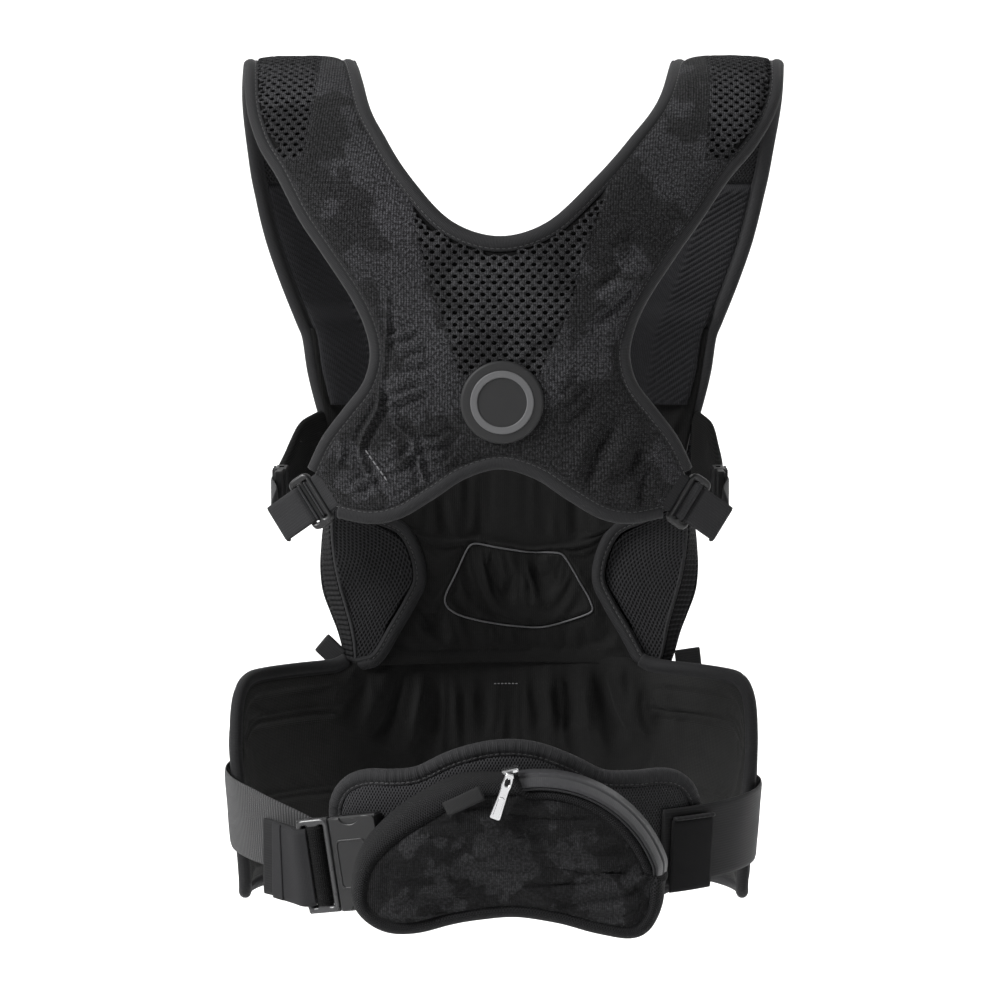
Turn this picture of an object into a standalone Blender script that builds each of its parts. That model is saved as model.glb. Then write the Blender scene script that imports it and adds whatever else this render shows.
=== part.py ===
"""Soft baby carrier, shaped as it hangs on a wearer's torso.

+X is the wearer's right, +Y the way the wearer faces and +Z up. The origin is the centre
of the waist strap's loop, level with the webbing. All sizes are in metres.

Soft parts are laid on three smooth surfaces: the shoulder drape (yoke and shoulder straps),
the chest front (baby panel) and the waist loop (belt, lumbar pad and waist straps). A padded
part is layers on its surface: an outer face, a foam core and a lining.
"""
import math

import bmesh
import bpy
from mathutils import Matrix, Vector

# ---- driving dimensions ----
CLEAR = 0.0003            # gap between parts that touch
FABRIC = 0.0018           # face and lining layers
FOAM = 0.0048             # foam core
LAYER = (FOAM + FABRIC) / 2 + CLEAR
BIND_R = 0.0045           # radius of the edge binding
EDGE = BIND_R + 0.0008    # binding centre line to the edge of the layers
SEAM = 0.0011             # half the gap where the yoke meets the shoulder straps
WIDE_WEB = 0.050          # waist webbing
SIDE_WEB = 0.025          # side webbing
WEB_T = 0.0016

# ---- shoulder drape: back line, arch over the shoulder, front line ----
ARCH_Y = -0.006
ARCH_HALF = 0.108
ARCH_RISE = 0.104
SPRING_Z = 0.370          # where the back and front lines turn into the arch
ARCH_LENGTH = math.pi * 0.106
BACK_ROUND = 1.9          # how fast the back and front fall away sideways, 1/m
FRONT_ROUND = 1.3
SHOULDER_LEAN = 0.0085    # sideways lean of the worn straps, at the shoulder
FRONT_LEAN = 0.006        # and on the front
TOP_S = ARCH_LENGTH / 2
STRAP_END_Z = 0.300
STRAP_END_S = ARCH_LENGTH + SPRING_Z - STRAP_END_Z
STRAP_CORNER = 0.060      # where the neck binding turns from the strap to the panel's top

# ---- waist loop ----
WAIST_X = -0.004
WAIST_HALF = 0.163
WAIST_FRONT = 0.104
WAIST_BACK = 0.1175
STRAP_OFFSET = 0.0072     # waist straps run outside the padded layers
TAIL_OFFSET = 0.0102
BELT_TOP = 0.0795
BELT_MID_TOP = 0.0885
BELT_BOTTOM = -0.042

# ---- yoke outline, right half: (x, distance along the drape) of the binding's centre ----
NECK_LINE = [(0, -0.002), (0.0305, 0.0072), (0.057, 0.0335), (0.0765, 0.0615),
             (0.0925, 0.0965), (0.103, TOP_S)]
ARM_LINE = [(0.1125, -0.140), (0.1035, -0.1215), (0.0905, -0.104), (0.0785, -0.0878),
            (0.0738, -0.070), (0.077, -0.052), (0.0865, -0.032), (0.104, -0.006),
            (0.117, 0.0125), (0.1325, 0.0385), (0.149, 0.064), (0.1595, 0.100), (0.1635, TOP_S)]
LOWER_LINE = [(0, -0.133), (0.0225, -0.1392), (0.042, -0.152), (0.0615, -0.1637),
              (0.0785, -0.1672), (0.097, -0.1645)]
STRAP_OUTER = [(0.1635, TOP_S), (0.1665, 0.2355), (0.163, 0.286), (0.1585, 0.3138),
               (0.1525, 0.340), (0.144, 0.366), (0.134, 0.392), (0.130, STRAP_END_S)]
STRAP_INNER = [(0.103, TOP_S), (0.1015, 0.2355), (0.097, 0.286), (0.092, 0.3138),
               (0.0855, 0.340), (0.0765, 0.366), (0.0665, 0.392), (0.0625, STRAP_END_S)]

# ---- baby panel, right half: (x, z) ----
LINING_EDGE = [(0.130, 0.2995), (0.1225, 0.2587), (0.116, 0.225), (0.1085, 0.196),
               (0.090, 0.1835), (0.0715, 0.1745), (0.0620, 0.159), (0.0590, 0.140),
               (0.066, 0.124), (0.0765, 0.1065), (0.0865, 0.0895)]
SHELL_EDGE = [(0.130, 0.2995), (0.1225, 0.2587), (0.117, 0.225), (0.1145, 0.196),
              (0.1150, 0.178), (0.1160, 0.163), (0.1165, 0.148), (0.1150, 0.133),
              (0.1105, 0.117), (0.1065, 0.103), (0.1035, 0.0895)]
GUSSET_INNER = [(0.1065, 0.1885), (0.089, 0.1775), (0.0735, 0.1685), (0.0665, 0.156),
                (0.0640, 0.140), (0.0715, 0.1255), (0.0815, 0.109), (0.0905, 0.0945)]
GUSSET_OUTER = [(0.1125, 0.190), (0.1135, 0.181), (0.1135, 0.171), (0.112, 0.155),
                (0.109, 0.139), (0.105, 0.1235), (0.1012, 0.108), (0.0985, 0.0955)]
ELASTIC_OUTER = [(0.1150, 0.1885), (0.1152, 0.180), (0.1158, 0.167), (0.1162, 0.153),
                 (0.1152, 0.1385), (0.1112, 0.122), (0.1070, 0.108), (0.1040, 0.0965)]
PANEL_BULGE = 0.017       # how far the outer shell stands off at the seat

# ---- lumbar pad: (x, z) of its top and bottom edges ----
LUMBAR_TOP = [(-0.096, 0.024), (-0.091, 0.0345), (-0.080, 0.0402), (-0.062, 0.0412),
              (-0.047, 0.0440), (-0.030, 0.0528), (-0.013, 0.0585), (0.005, 0.0608),
              (0.022, 0.0585), (0.041, 0.0508), (0.060, 0.0408), (0.080, 0.0388),
              (0.100, 0.0385), (0.110, 0.0330), (0.1155, 0.022)]
LUMBAR_BOTTOM = [(-0.096, -0.012), (-0.085, -0.022), (-0.060, -0.028), (-0.030, -0.027),
                 (0.005, -0.024), (0.040, -0.027), (0.075, -0.028), (0.103, -0.022),
                 (0.1155, -0.012)]

# ---- pouch ----
ZIP_CENTRE = (0.0239, -0.0255)    # centre of the zip's arc, (x, z)
ZIP_R = 0.0782
ZIP_FROM = math.radians(102.4)    # slider at rest
ZIP_TO = math.radians(18)
POUCH_BACK_Y = -0.1268
POUCH_FACE_Y = -0.158
POUCH_CROWN = 0.0045
POUCH_BACK_CROWN = 0.0015
POUCH_PANEL_T = 0.0012
PULL_LENGTH = 0.0270
PULL_HEEL = 0.0018        # behind the pull's pivot; short, so that it swings clear of the slider
PULL_T = 0.0016
POUCH_POINTS = [(0.0985, -0.011), (0.0965, -0.028), (0.089, -0.041), (0.077, -0.0455),
                (0.058, -0.0425), (0.033, -0.036), (0.005, -0.0325), (-0.028, -0.037),
                (-0.050, -0.0425), (-0.066, -0.0425), (-0.079, -0.0365), (-0.087, -0.0265),
                (-0.088, -0.013), (-0.083, 0.0055), (-0.067, 0.025), (-0.046, 0.040),
                (-0.022, 0.0505)]
POUCH_MIDDLE = (0.005, 0.004)

# ---- side-release buckles ----
WAIST_BUCKLE = dict(width=0.058, thick=0.0100, body=0.032, base=0.0215, web=WIDE_WEB)
SIDE_BUCKLE = dict(width=0.031, thick=0.0088, body=0.028, base=0.0185, web=SIDE_WEB)
WALL = 0.0030
PRONG_REACH = 0.0225
LOCK_T = 0.0040           # ladder lock thickness
PLUG_SHARE = 0.62         # plug thickness over socket thickness
SLOT = 0.0038


# ================= collections and materials =================

def new_collection(name):
    collection = bpy.data.collections.new(name)
    bpy.context.scene.collection.children.link(collection)
    return collection


def new_material(name, colour, roughness, metallic=0.0):
    material = bpy.data.materials.new(name)
    material.use_nodes = True
    shader = material.node_tree.nodes["Principled BSDF"]
    shader.inputs["Base Color"].default_value = (*colour, 1.0)
    shader.inputs["Roughness"].default_value = roughness
    shader.inputs["Metallic"].default_value = metallic
    return material


def adopt(obj, name, material, collection=None):
    """Name an object, give it its material and move it into its collection."""
    obj.name = name
    obj.data.name = name
    obj.data.materials.clear()
    if material is not None:
        obj.data.materials.append(material)
    for old in list(obj.users_collection):
        old.objects.unlink(obj)
    (collection or PARTS).objects.link(obj)
    return obj


# ================= curves =================

def resample(points, count):
    """Count points evenly spaced along a polyline."""
    lengths = [0.0]
    for a, b in zip(points, points[1:]):
        lengths.append(lengths[-1] + (b - a).length)
    result = []
    segment = 0
    for i in range(count):
        target = lengths[-1] * i / (count - 1)
        while segment < len(points) - 2 and lengths[segment + 1] < target:
            segment += 1
        span = lengths[segment + 1] - lengths[segment]
        share = (target - lengths[segment]) / span if span else 0.0
        result.append(points[segment].lerp(points[segment + 1], min(max(share, 0.0), 1.0)))
    return result


def spline(points, count, crosses_centre=False):
    """Count points evenly spaced on a smooth curve through the given points.

    A right-half curve that crosses the centre line starts off level there.
    """
    knots = [Vector(p) for p in points]
    before = Vector((-knots[1].x, knots[1].y)) if crosses_centre else 2 * knots[0] - knots[1]
    knots = [before] + knots + [2 * knots[-1] - knots[-2]]
    fine = []
    for a, b, c, d in zip(knots, knots[1:], knots[2:], knots[3:]):
        for k in range(16):
            t = k / 16
            fine.append(0.5 * (2 * b + (c - a) * t + (2 * a - 5 * b + 4 * c - d) * t ** 2
                               + (3 * b - a - 3 * c + d) * t ** 3))
    fine.append(knots[-2])
    return resample(fine, count)


def shifted(points, distance):
    """A plane curve moved sideways: positive is to its left."""
    result = []
    last = len(points) - 1
    for i, point in enumerate(points):
        along = (points[min(i + 1, last)] - points[max(i - 1, 0)]).normalized()
        result.append(point + distance * Vector((-along.y, along.x)))
    return result


def line(a, b, count):
    return [Vector(a).lerp(Vector(b), i / (count - 1)) for i in range(count)]


def mirrored(points):
    """A right-half curve carried over to the left half, as one curve from left to right."""
    left = [Vector((-p.x, p.y)) for p in reversed(points)]
    return left[:-1] + list(points)


def smoothstep(value):
    value = min(max(value, 0.0), 1.0)
    return value * value * (3 - 2 * value)


# ================= the three base surfaces =================

def offset_point(surface, a, b, offset):
    """A point of surface(a, b) moved along the outward normal."""
    step = 0.0005
    point = surface(a, b)
    if not offset:
        return point
    normal = (surface(a + step, b) - point).cross(surface(a, b + step) - point).normalized()
    return point + normal * offset


def drape(x, s):
    """Shoulder drape: s runs up the back, over the shoulder and down the front."""
    phi = min(max(s / ARCH_LENGTH, 0.0), 1.0) * math.pi
    y = ARCH_Y - ARCH_HALF * math.cos(phi)
    z = SPRING_Z + ARCH_RISE * math.sin(phi) + min(s, 0.0) - max(s - ARCH_LENGTH, 0.0)
    if phi < math.pi / 2:
        y += BACK_ROUND * x * x * math.cos(phi)
        lean = SHOULDER_LEAN * smoothstep(s / (0.7 * TOP_S))
    else:
        y += FRONT_ROUND * x * x * math.cos(phi)
        lean = SHOULDER_LEAN + (FRONT_LEAN - SHOULDER_LEAN) * smoothstep((s - TOP_S) / TOP_S)
    return Vector((x + lean, y, z))


def chest(x, z):
    """Chest front under the baby panel."""
    low = (STRAP_END_Z - z) / (STRAP_END_Z - 0.09)
    y = ARCH_Y + ARCH_HALF - (FRONT_ROUND + 0.6 * low) * x * x + 0.0015 * low
    return Vector((x + FRONT_LEAN * smoothstep((z - 0.05) / 0.05), y, z))


def chest_out(x, z, offset):
    """A point outside (+) or inside (-) the chest front."""
    return offset_point(lambda a, b: chest(-a, b), -x, z, offset)


def waist(angle, z):
    """Waist loop: angle 0 is the wearer's right, a quarter turn on is the front."""
    half = WAIST_HALF - 0.005 * smoothstep((0.05 - z) / 0.1)
    depth = WAIST_FRONT if math.sin(angle) >= 0 else WAIST_BACK
    return Vector((WAIST_X + half * math.cos(angle), depth * math.sin(angle), z))


def back_angle(x):
    """Angle on the back of the waist loop where it is at x."""
    return -math.acos((x - WAIST_X) / WAIST_HALF)


# ================= solids =================

def sheet(name, grids, thickness, material):
    """One closed solid: grids of points as an open surface, thickened about the middle."""
    mesh = bmesh.new()
    for grid in grids:
        rows = [[mesh.verts.new(point) for point in row] for row in grid]
        for low, high in zip(rows, rows[1:]):
            for i in range(len(low) - 1):
                mesh.faces.new((low[i], low[i + 1], high[i + 1], high[i]))
    bmesh.ops.remove_doubles(mesh, verts=mesh.verts, dist=1e-6)
    bmesh.ops.recalc_face_normals(mesh, faces=mesh.faces)
    data = bpy.data.meshes.new(name)
    mesh.to_mesh(data)
    mesh.free()
    data.shade_smooth()
    obj = adopt(bpy.data.objects.new(name, data), name, material)
    solid = obj.modifiers.new("Thickness", "SOLIDIFY")
    solid.thickness = thickness
    solid.offset = 0.0
    return obj


def tube(name, points, radius, material, cyclic=False):
    """A bead or piping along a line of points."""
    curve = bpy.data.curves.new(name, "CURVE")
    curve.dimensions = "3D"
    curve.bevel_depth = radius
    curve.bevel_resolution = 1
    curve.use_fill_caps = not cyclic
    path = curve.splines.new("POLY")
    path.points.add(len(points) - 1)
    path.use_cyclic_u = cyclic
    for node, point in zip(path.points, points):
        node.co = (*point, 1.0)
    return adopt(bpy.data.objects.new(name, curve), name, material)


def block(name, size, centre, material, parent=None, bevel=0.0, collection=None):
    """A box with optional rounded edges, in its parent's frame."""
    bpy.ops.mesh.primitive_cube_add(size=1.0)
    obj = adopt(bpy.context.object, name, material, collection)
    obj.data.transform(Matrix.Diagonal((*size, 1.0)))
    obj.parent = parent
    obj.location = centre
    if bevel:
        edge = obj.modifiers.new("Rounded edges", "BEVEL")
        edge.width = bevel
        edge.segments = 1
    return obj


def combine(obj, other, operation):
    """Cut a piece with, or join it to, a hidden helper."""
    other.hide_render = True
    other.display_type = "WIRE"
    step = obj.modifiers.new(operation.title(), "BOOLEAN")
    step.operation = operation
    step.object = other


def plate(name, outline, thickness, material, parent=None):
    """A flat outline with a thickness, in its parent's XY plane."""
    curve = bpy.data.curves.new(name, "CURVE")
    curve.dimensions = "2D"
    curve.fill_mode = "BOTH"
    curve.extrude = thickness / 2
    path = curve.splines.new("POLY")
    path.points.add(len(outline) - 1)
    path.use_cyclic_u = True
    for node, (x, y) in zip(path.points, outline):
        node.co = (x, y, 0.0, 1.0)
    obj = adopt(bpy.data.objects.new(name, curve), name, material)
    obj.parent = parent
    return obj


def empty(name, matrix):
    """An empty that carries a joint's or a buckle's frame."""
    obj = bpy.data.objects.new(name, None)
    PARTS.objects.link(obj)
    obj.matrix_world = matrix
    return obj


def frame_matrix(origin, along, across):
    """Frame with X along, Y nearly across and Z square to both."""
    x = Vector(along).normalized()
    z = x.cross(Vector(across)).normalized()
    y = z.cross(x)
    return Matrix.Translation(origin) @ Matrix((x, y, z)).transposed().to_4x4()


def ribbon(name, centres, widths, width, material, thickness=WEB_T):
    """Flat webbing along its centre line; widths gives the way its width points."""
    grid = []
    for centre, way in zip(centres, widths):
        half = Vector(way).normalized() * width / 2
        grid.append([centre - half, centre, centre + half])
    return sheet(name, [grid], thickness, material)


def three_layers(prefix, grid_at, face, lining):
    """Lining, foam core and outer face on one surface; grid_at(offset) gives the points."""
    sheet(prefix + "_lining", grid_at(-LAYER), FABRIC, lining)
    sheet(prefix + "_foam", grid_at(0.0), FOAM, FOAM_CORE)
    sheet(prefix + "_face", grid_at(LAYER), FABRIC, face)


def two_layers(prefix, grid_at, face, pad):
    """A pad whose foam is bonded to its lining, and the outer face over it."""
    sheet(prefix + "_pad", grid_at(-(FABRIC + CLEAR) / 2), FOAM + FABRIC + CLEAR, pad)
    sheet(prefix + "_face", grid_at(LAYER), FABRIC, face)


# ================= yoke and shoulder straps =================

YOKE_CELLS = 5            # across each half
CENTRE_CELLS = 5          # up the middle, below the neck
CORNER_CELLS = 2          # along each lower corner
SIDE_CELLS = 17           # from the bottom to the shoulder


def neck_line():
    return spline(NECK_LINE, SIDE_CELLS - CENTRE_CELLS + 1, crosses_centre=True)


def lower_line():
    return spline(LOWER_LINE, YOKE_CELLS + 1, crosses_centre=True)


def yoke_half():
    """Right half of the yoke as rows of (x, s), evened out inside its four sides."""
    lower = shifted(lower_line(), EDGE)
    neck = shifted(neck_line(), -EDGE)
    arm = shifted(spline(ARM_LINE, SIDE_CELLS - CORNER_CELLS + 1), EDGE)
    for curve in (lower, neck):
        curve[0].x = 0.0
    inner = line(lower[0], neck[0], CENTRE_CELLS + 1)[:-1] + neck
    outer = line(lower[-1], arm[0], CORNER_CELLS + 1)[:-1] + arm
    top_s = TOP_S - SEAM
    inner[-1].y = top_s
    outer[-1].y = top_s
    rows = [line(a, b, YOKE_CELLS + 1) for a, b in zip(inner, outer)]
    rows[0] = lower
    for _ in range(60):
        for j in range(1, SIDE_CELLS):
            for i in range(1, YOKE_CELLS):
                rows[j][i] = (rows[j - 1][i] + rows[j + 1][i]
                              + rows[j][i - 1] + rows[j][i + 1]) / 4
    return rows


def make_yoke():
    half = yoke_half()

    def grids(offset):
        right = [[offset_point(drape, p.x, p.y, offset) for p in row] for row in half]
        left = [[offset_point(drape, -p.x, p.y, offset) for p in row] for row in half]
        return [right, left]

    three_layers("yoke", grids, KNIT, LINING)
    neck = mirrored(neck_line())
    lower = mirrored(lower_line())
    arm = spline(ARM_LINE, SIDE_CELLS - CORNER_CELLS + 1)
    neck[0].y = neck[-1].y = arm[-1].y = TOP_S - SEAM
    tube("yoke_neck_binding", [drape(p.x, p.y) for p in neck], BIND_R, BINDING)
    tube("yoke_lower_binding", [drape(p.x, p.y) for p in lower], BIND_R, BINDING)
    for side, sign in SIDES:
        points = [drape(sign * p.x, p.y) for p in arm]
        tube("yoke_armhole_binding_" + side, points, BIND_R, BINDING)


def make_badge():
    """Plain round rubber badge with a raised ring."""
    middle = offset_point(drape, 0.0012, -0.0966, LAYER + FABRIC / 2 + 0.0022)
    base = empty("badge_frame", frame_matrix(middle, (1, 0, 0), (0, 0, 1)))
    bpy.ops.mesh.primitive_cylinder_add(vertices=40, radius=0.025, depth=0.0024)
    disc = adopt(bpy.context.object, "badge_disc", RUBBER)
    disc.parent = base
    bpy.ops.mesh.primitive_torus_add(major_segments=40, minor_segments=6,
                                     major_radius=0.0172, minor_radius=0.0008)
    ring = adopt(bpy.context.object, "badge_join_ring", None, CUTTERS)
    ring.parent = base
    ring.location = (0, 0, 0.0012)
    combine(disc, ring, "UNION")


def make_straps():
    cells = 12
    outer_line = spline(STRAP_OUTER, cells + 1)
    inner_line = spline(STRAP_INNER, cells + 1)
    outer_edge = shifted(outer_line, EDGE)
    inner_edge = shifted(inner_line, -EDGE)
    for curve in (outer_line, inner_line, outer_edge, inner_edge):
        curve[0].y = TOP_S + SEAM
        curve[-1].y = STRAP_END_S
    rows = [line(a, b, 4) for a, b in zip(inner_edge, outer_edge)]
    for side, sign in SIDES:
        def grids(offset):
            return [[[offset_point(drape, sign * p.x, p.y, offset) for p in row] for row in rows]]

        two_layers("shoulder_strap_" + side, grids, KNIT, RIBBED)
        outer = [drape(sign * p.x, p.y) for p in outer_line]
        tube("strap_binding_" + side, outer, BIND_R, BINDING)
    top = [chest_out(x, STRAP_END_Z + EDGE, 0.0) for x in (-0.030, 0, 0.030)]
    left = [drape(-p.x, p.y) for p in inner_line[:-1]]
    right = [drape(p.x, p.y) for p in reversed(inner_line[:-1])]
    turn_left, turn_right = [chest_out(x, STRAP_END_Z + 1.6 * EDGE, 0.0)
                             for x in (-STRAP_CORNER, STRAP_CORNER)]
    tube("front_neck_binding", left + [turn_left] + top + [turn_right] + right, BIND_R, BINDING)


# ================= baby panel =================

PANEL_ROWS = 13


def bulge(z):
    """Outward stand-off of the outer shell, greatest at the seat."""
    rise = smoothstep((0.255 - z) / 0.09) * (1 - 0.62 * smoothstep((0.135 - z) / 0.055))
    return PANEL_BULGE * rise


def make_panel():
    lining_edge = spline(LINING_EDGE, PANEL_ROWS)
    shell_edge = spline(SHELL_EDGE, PANEL_ROWS)

    def rows(edge, offset_of):
        grid = []
        for p in edge:
            xs = [p.x * (k / 4 - 1) for k in range(9)]
            grid.append([chest_out(x, p.y, offset_of(p.y)) for x in xs])
        return grid

    sheet("panel_lining", [rows(lining_edge, lambda z: -LAYER)], FABRIC, SMOOTH)
    sheet("panel_shell", [rows(shell_edge, lambda z: LAYER + bulge(z))], FABRIC, KNIT)
    for side, sign in SIDES:
        make_gusset(side, sign)
        make_wing(side, sign)
        make_seat_tab(side, sign)


def make_gusset(side, sign):
    """Stretch-mesh side of the seat and the gathered elastic along the leg opening."""
    count = 9
    inner = spline(GUSSET_INNER, count)
    outer = spline(GUSSET_OUTER, count)
    elastic = spline(ELASTIC_OUTER, count)
    mesh_rows = []
    elastic_rows = []
    for p, q, r in zip(inner, outer, elastic):
        a = chest_out(sign * p.x, p.y, -0.001)
        b = chest_out(sign * q.x, q.y, 0.35 * bulge(q.y))
        c = chest_out(sign * (q.x + 0.0012), q.y, 0.35 * bulge(q.y) + 0.0018)
        d = chest_out(sign * r.x, r.y, 0.9 * bulge(r.y) + 0.0018)
        mesh_rows.append([a, a.lerp(b, 0.33), a.lerp(b, 0.67), b])
        elastic_rows.append([c, c.lerp(d, 0.5), d])
    sheet("mesh_gusset_" + side, [mesh_rows], 0.0014, MESH)
    sheet("leg_elastic_" + side, [elastic_rows], 0.0010, ELASTIC)


def make_wing(side, sign):
    """Padded wing that reaches back from the panel to the side buckle."""
    plan = spline([(0.1235, 0.0795), (0.132, 0.064), (0.1375, 0.049), (0.1395, 0.0352)], 6)
    top = spline([(0.0, 0.253), (0.4, 0.246), (0.7, 0.231), (1.0, 0.2215)], 6)
    low = spline([(0.0, 0.197), (0.4, 0.193), (0.7, 0.191), (1.0, 0.1925)], 6)
    grid = []
    for p, t, b in zip(plan, top, low):
        column = []
        for k in range(4):
            z = b.y + (t.y - b.y) * k / 3
            column.append(Vector((sign * p.x + FRONT_LEAN * (1 - t.x), p.y, z)))
        grid.append(column)
    sheet("side_wing_" + side, [grid], 0.0050, SMOOTH)


def make_seat_tab(side, sign):
    """Webbing tab at the foot of the gusset that sets the seat width."""
    root = chest_out(sign * 0.1065, 0.087, 0.010)
    way = (1, 0.15, 0.12) if sign > 0 else (-0.55, 0.2, 0.50)
    base = empty("seat_tab_frame_" + side, frame_matrix(root, way, (0, 0, 1)))
    block("seat_tab_" + side, (0.017, 0.0145, 0.0024), (0.0085, 0, 0), WEBBING, base, 0.0006)


# ================= waist =================

def belt_top(angle):
    """Height of the belt's top edge: a step beside the panel, a round corner at each end."""
    share = abs(math.cos(angle))
    height = BELT_MID_TOP + (BELT_TOP - BELT_MID_TOP) * smoothstep((share - 0.50) / 0.12)
    from_end = math.degrees(min(angle, math.pi - angle)) + 4
    corner = min(from_end / 24, 1.0)
    drop = (BELT_TOP - 0.030) * (1 - math.sqrt(max(1 - (1 - corner) ** 2, 0.0)))
    return height - drop


def make_belt():
    columns = 25
    angles = [math.radians(-4 + 188 * i / (columns - 1)) for i in range(columns)]

    def grids(offset):
        rows = []
        for angle in angles:
            top = belt_top(angle)
            heights = [BELT_BOTTOM + (top - BELT_BOTTOM) * k / 4 for k in range(5)]
            rows.append([waist_out(angle, z, offset) for z in heights])
        return [rows]

    three_layers("belt", grids, KNIT, SMOOTH)
    path = []
    for sign in (-1, 1):
        ordered = angles if sign > 0 else list(reversed(angles))
        edge = [Vector((a, belt_top(a))) for a in ordered[:9]]
        heights = (BELT_BOTTOM - 0.8 * EDGE, BELT_BOTTOM + 0.006, -0.018, 0.006)
        end = [waist_out(edge[0].x, z, 0.0) for z in heights]
        end.append(waist_out(edge[0].x, edge[0].y + 0.002, 0.0))
        side = [point + Vector((0, -EDGE - 0.0002, 0)) for point in end]
        side += [corner_outward(p, q) for p, q in zip(edge[1:], edge[2:])]
        if sign < 0:
            path = list(reversed(side))
            path += [waist_out(a, BELT_BOTTOM - EDGE, 0.0) for a in reversed(angles)]
        else:
            path += side
    tube("belt_binding", path, BIND_R, BINDING)


def corner_outward(here, after):
    """Move a point of the belt's top edge clear of the layers, square to the edge."""
    radius = waist(here.x, here.y) - Vector((WAIST_X, 0, here.y))
    a = waist(here.x, here.y)
    b = waist(after.x, after.y)
    along = (b - a).normalized()
    outward = Vector((radius.x, radius.y * 2.4, 0)).normalized()
    lift = outward.cross(along)
    if lift.z < 0:
        lift = -lift
    return a + lift * (EDGE + 0.0003)


def waist_out(angle, z, offset):
    """A point outside (+) or inside (-) the waist loop."""
    return offset_point(waist, angle, z, offset)


def make_lumbar():
    cells = 13
    top = spline(LUMBAR_TOP, cells + 1)
    bottom = spline(LUMBAR_BOTTOM, cells + 1)

    def grids(offset):
        rows = []
        for t, b in zip(top, bottom):
            column = [b.lerp(t, k / 3) for k in range(4)]
            rows.append([waist_out(back_angle(p.x), p.y, offset) for p in column])
        return [rows]

    two_layers("lumbar", grids, MESH, SMOOTH)
    loop = top + list(reversed(bottom))
    closed = [loop[-1]] + loop + [loop[0]]
    ring = []
    for before, here, after in zip(closed, loop, closed[2:]):
        way = (after - before).normalized()
        square = here + Vector((-way.y, way.x)) * (EDGE + 0.0004)
        ring.append(waist(back_angle(square.x), square.y))
    tube("lumbar_binding", ring, BIND_R - 0.0003, BINDING, cyclic=True)


def waist_strap(name, start, stop, offset, width, height_of, material):
    """A strap round the waist between two angles, in degrees from the wearer's right."""
    count = 2 + round(abs(stop - start) / 6.5)
    grid = []
    for i in range(count):
        share = i / (count - 1)
        angle = math.radians(start + (stop - start) * share)
        middle = height_of(share)
        grid.append([waist_out(angle, middle + side * width / 2, offset) for side in (-1, 0, 1)])
    sheet(name, [grid], WEB_T, material)


def make_waist_straps():
    waist_strap("waist_elastic_left", 166, 226, STRAP_OFFSET, 0.048,
                lambda t: 0.010 - 0.006 * t, ELASTIC)
    waist_strap("waist_webbing_right", 14, -52, STRAP_OFFSET, 0.048,
                lambda t: 0.001 - 0.002 * t, WEBBING)
    waist_strap("waist_tail_right", -37.5, -50, TAIL_OFFSET, 0.045,
                lambda t: -0.006, WEBBING)


# ================= buckles =================

def side_release(prefix, frame, spec):
    """Side-release buckle: socket, plug with its webbing slots, and two sprung prongs.

    In the buckle's frame +X runs from the plug into the socket and Y is across the webbing.
    """
    width, thick, web = spec["width"], spec["thick"], spec["web"]
    body, base = spec["body"], spec["base"]
    half = width / 2
    socket = block(prefix + "_socket", (body, width, thick), (body / 2, 0, 0), PLASTIC,
                   frame, 0.0012)
    depth = body - 0.0085
    cavity = (depth + 0.002, width - 2 * WALL, thick - 0.0036)
    window = (0.011, width + 0.004, thick - 0.0056)
    slot = (SLOT, web + 0.001, thick + 0.004)
    cuts = [("cavity", cavity, (depth / 2 - 0.001, 0, 0)),
            ("window", window, (0.0145, 0, 0)),
            ("slot", slot, (body - 0.0048, 0, 0))]
    for name, size, centre in cuts:
        combine(socket, block(prefix + "_cut_" + name, size, centre, None, frame,
                              collection=CUTTERS), "DIFFERENCE")
    plug = block(prefix + "_plug", (base, width, thick * PLUG_SHARE), (-base / 2 - 0.0005, 0, 0),
                 PLASTIC, frame, 0.0010)
    tongue = block(prefix + "_join_tongue", (0.018, width * 0.22, thick - 0.0052),
                   (0.0070, 0, 0), None, frame, collection=CUTTERS)
    combine(plug, tongue, "UNION")
    for name, place in (("front", -0.0062), ("rear", -base + 0.0048)):
        cutter = block(prefix + "_cut_plug_" + name, slot, (place, 0, 0), None, frame,
                       collection=CUTTERS)
        combine(plug, cutter, "DIFFERENCE")
    for name, sign in (("upper", 1), ("lower", -1)):
        outline = [(0.0002, half - 0.0082), (0.0002, half - 0.0044), (0.0092, half - 0.0040),
                   (0.0096, half - 0.0008), (0.0186, half - 0.0008), (0.0194, half - 0.0040),
                   (PRONG_REACH - 0.0040, half - 0.0046), (PRONG_REACH - 0.0040, half - 0.0078),
                   (0.0120, half - 0.0078)]
        outline = [(x, sign * y) for x, y in outline]
        if sign < 0:
            outline.reverse()
        plate(prefix + "_prong_" + name, outline, thick - 0.0062, PLASTIC, frame)


def make_waist_buckle():
    origin = Vector((-0.0990, -0.1086, -0.0085))
    tilt = Matrix.Rotation(math.radians(-20), 3, "Z")
    roll = Matrix.Rotation(math.radians(-9), 3, "Y")
    turn = tilt @ roll
    matrix = frame_matrix(origin, turn @ Vector((1, 0, 0)), turn @ Vector((0, 0, 1)))
    frame = empty("waist_buckle_frame", matrix)
    side_release("waist", frame, WAIST_BUCKLE)
    return matrix


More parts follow.
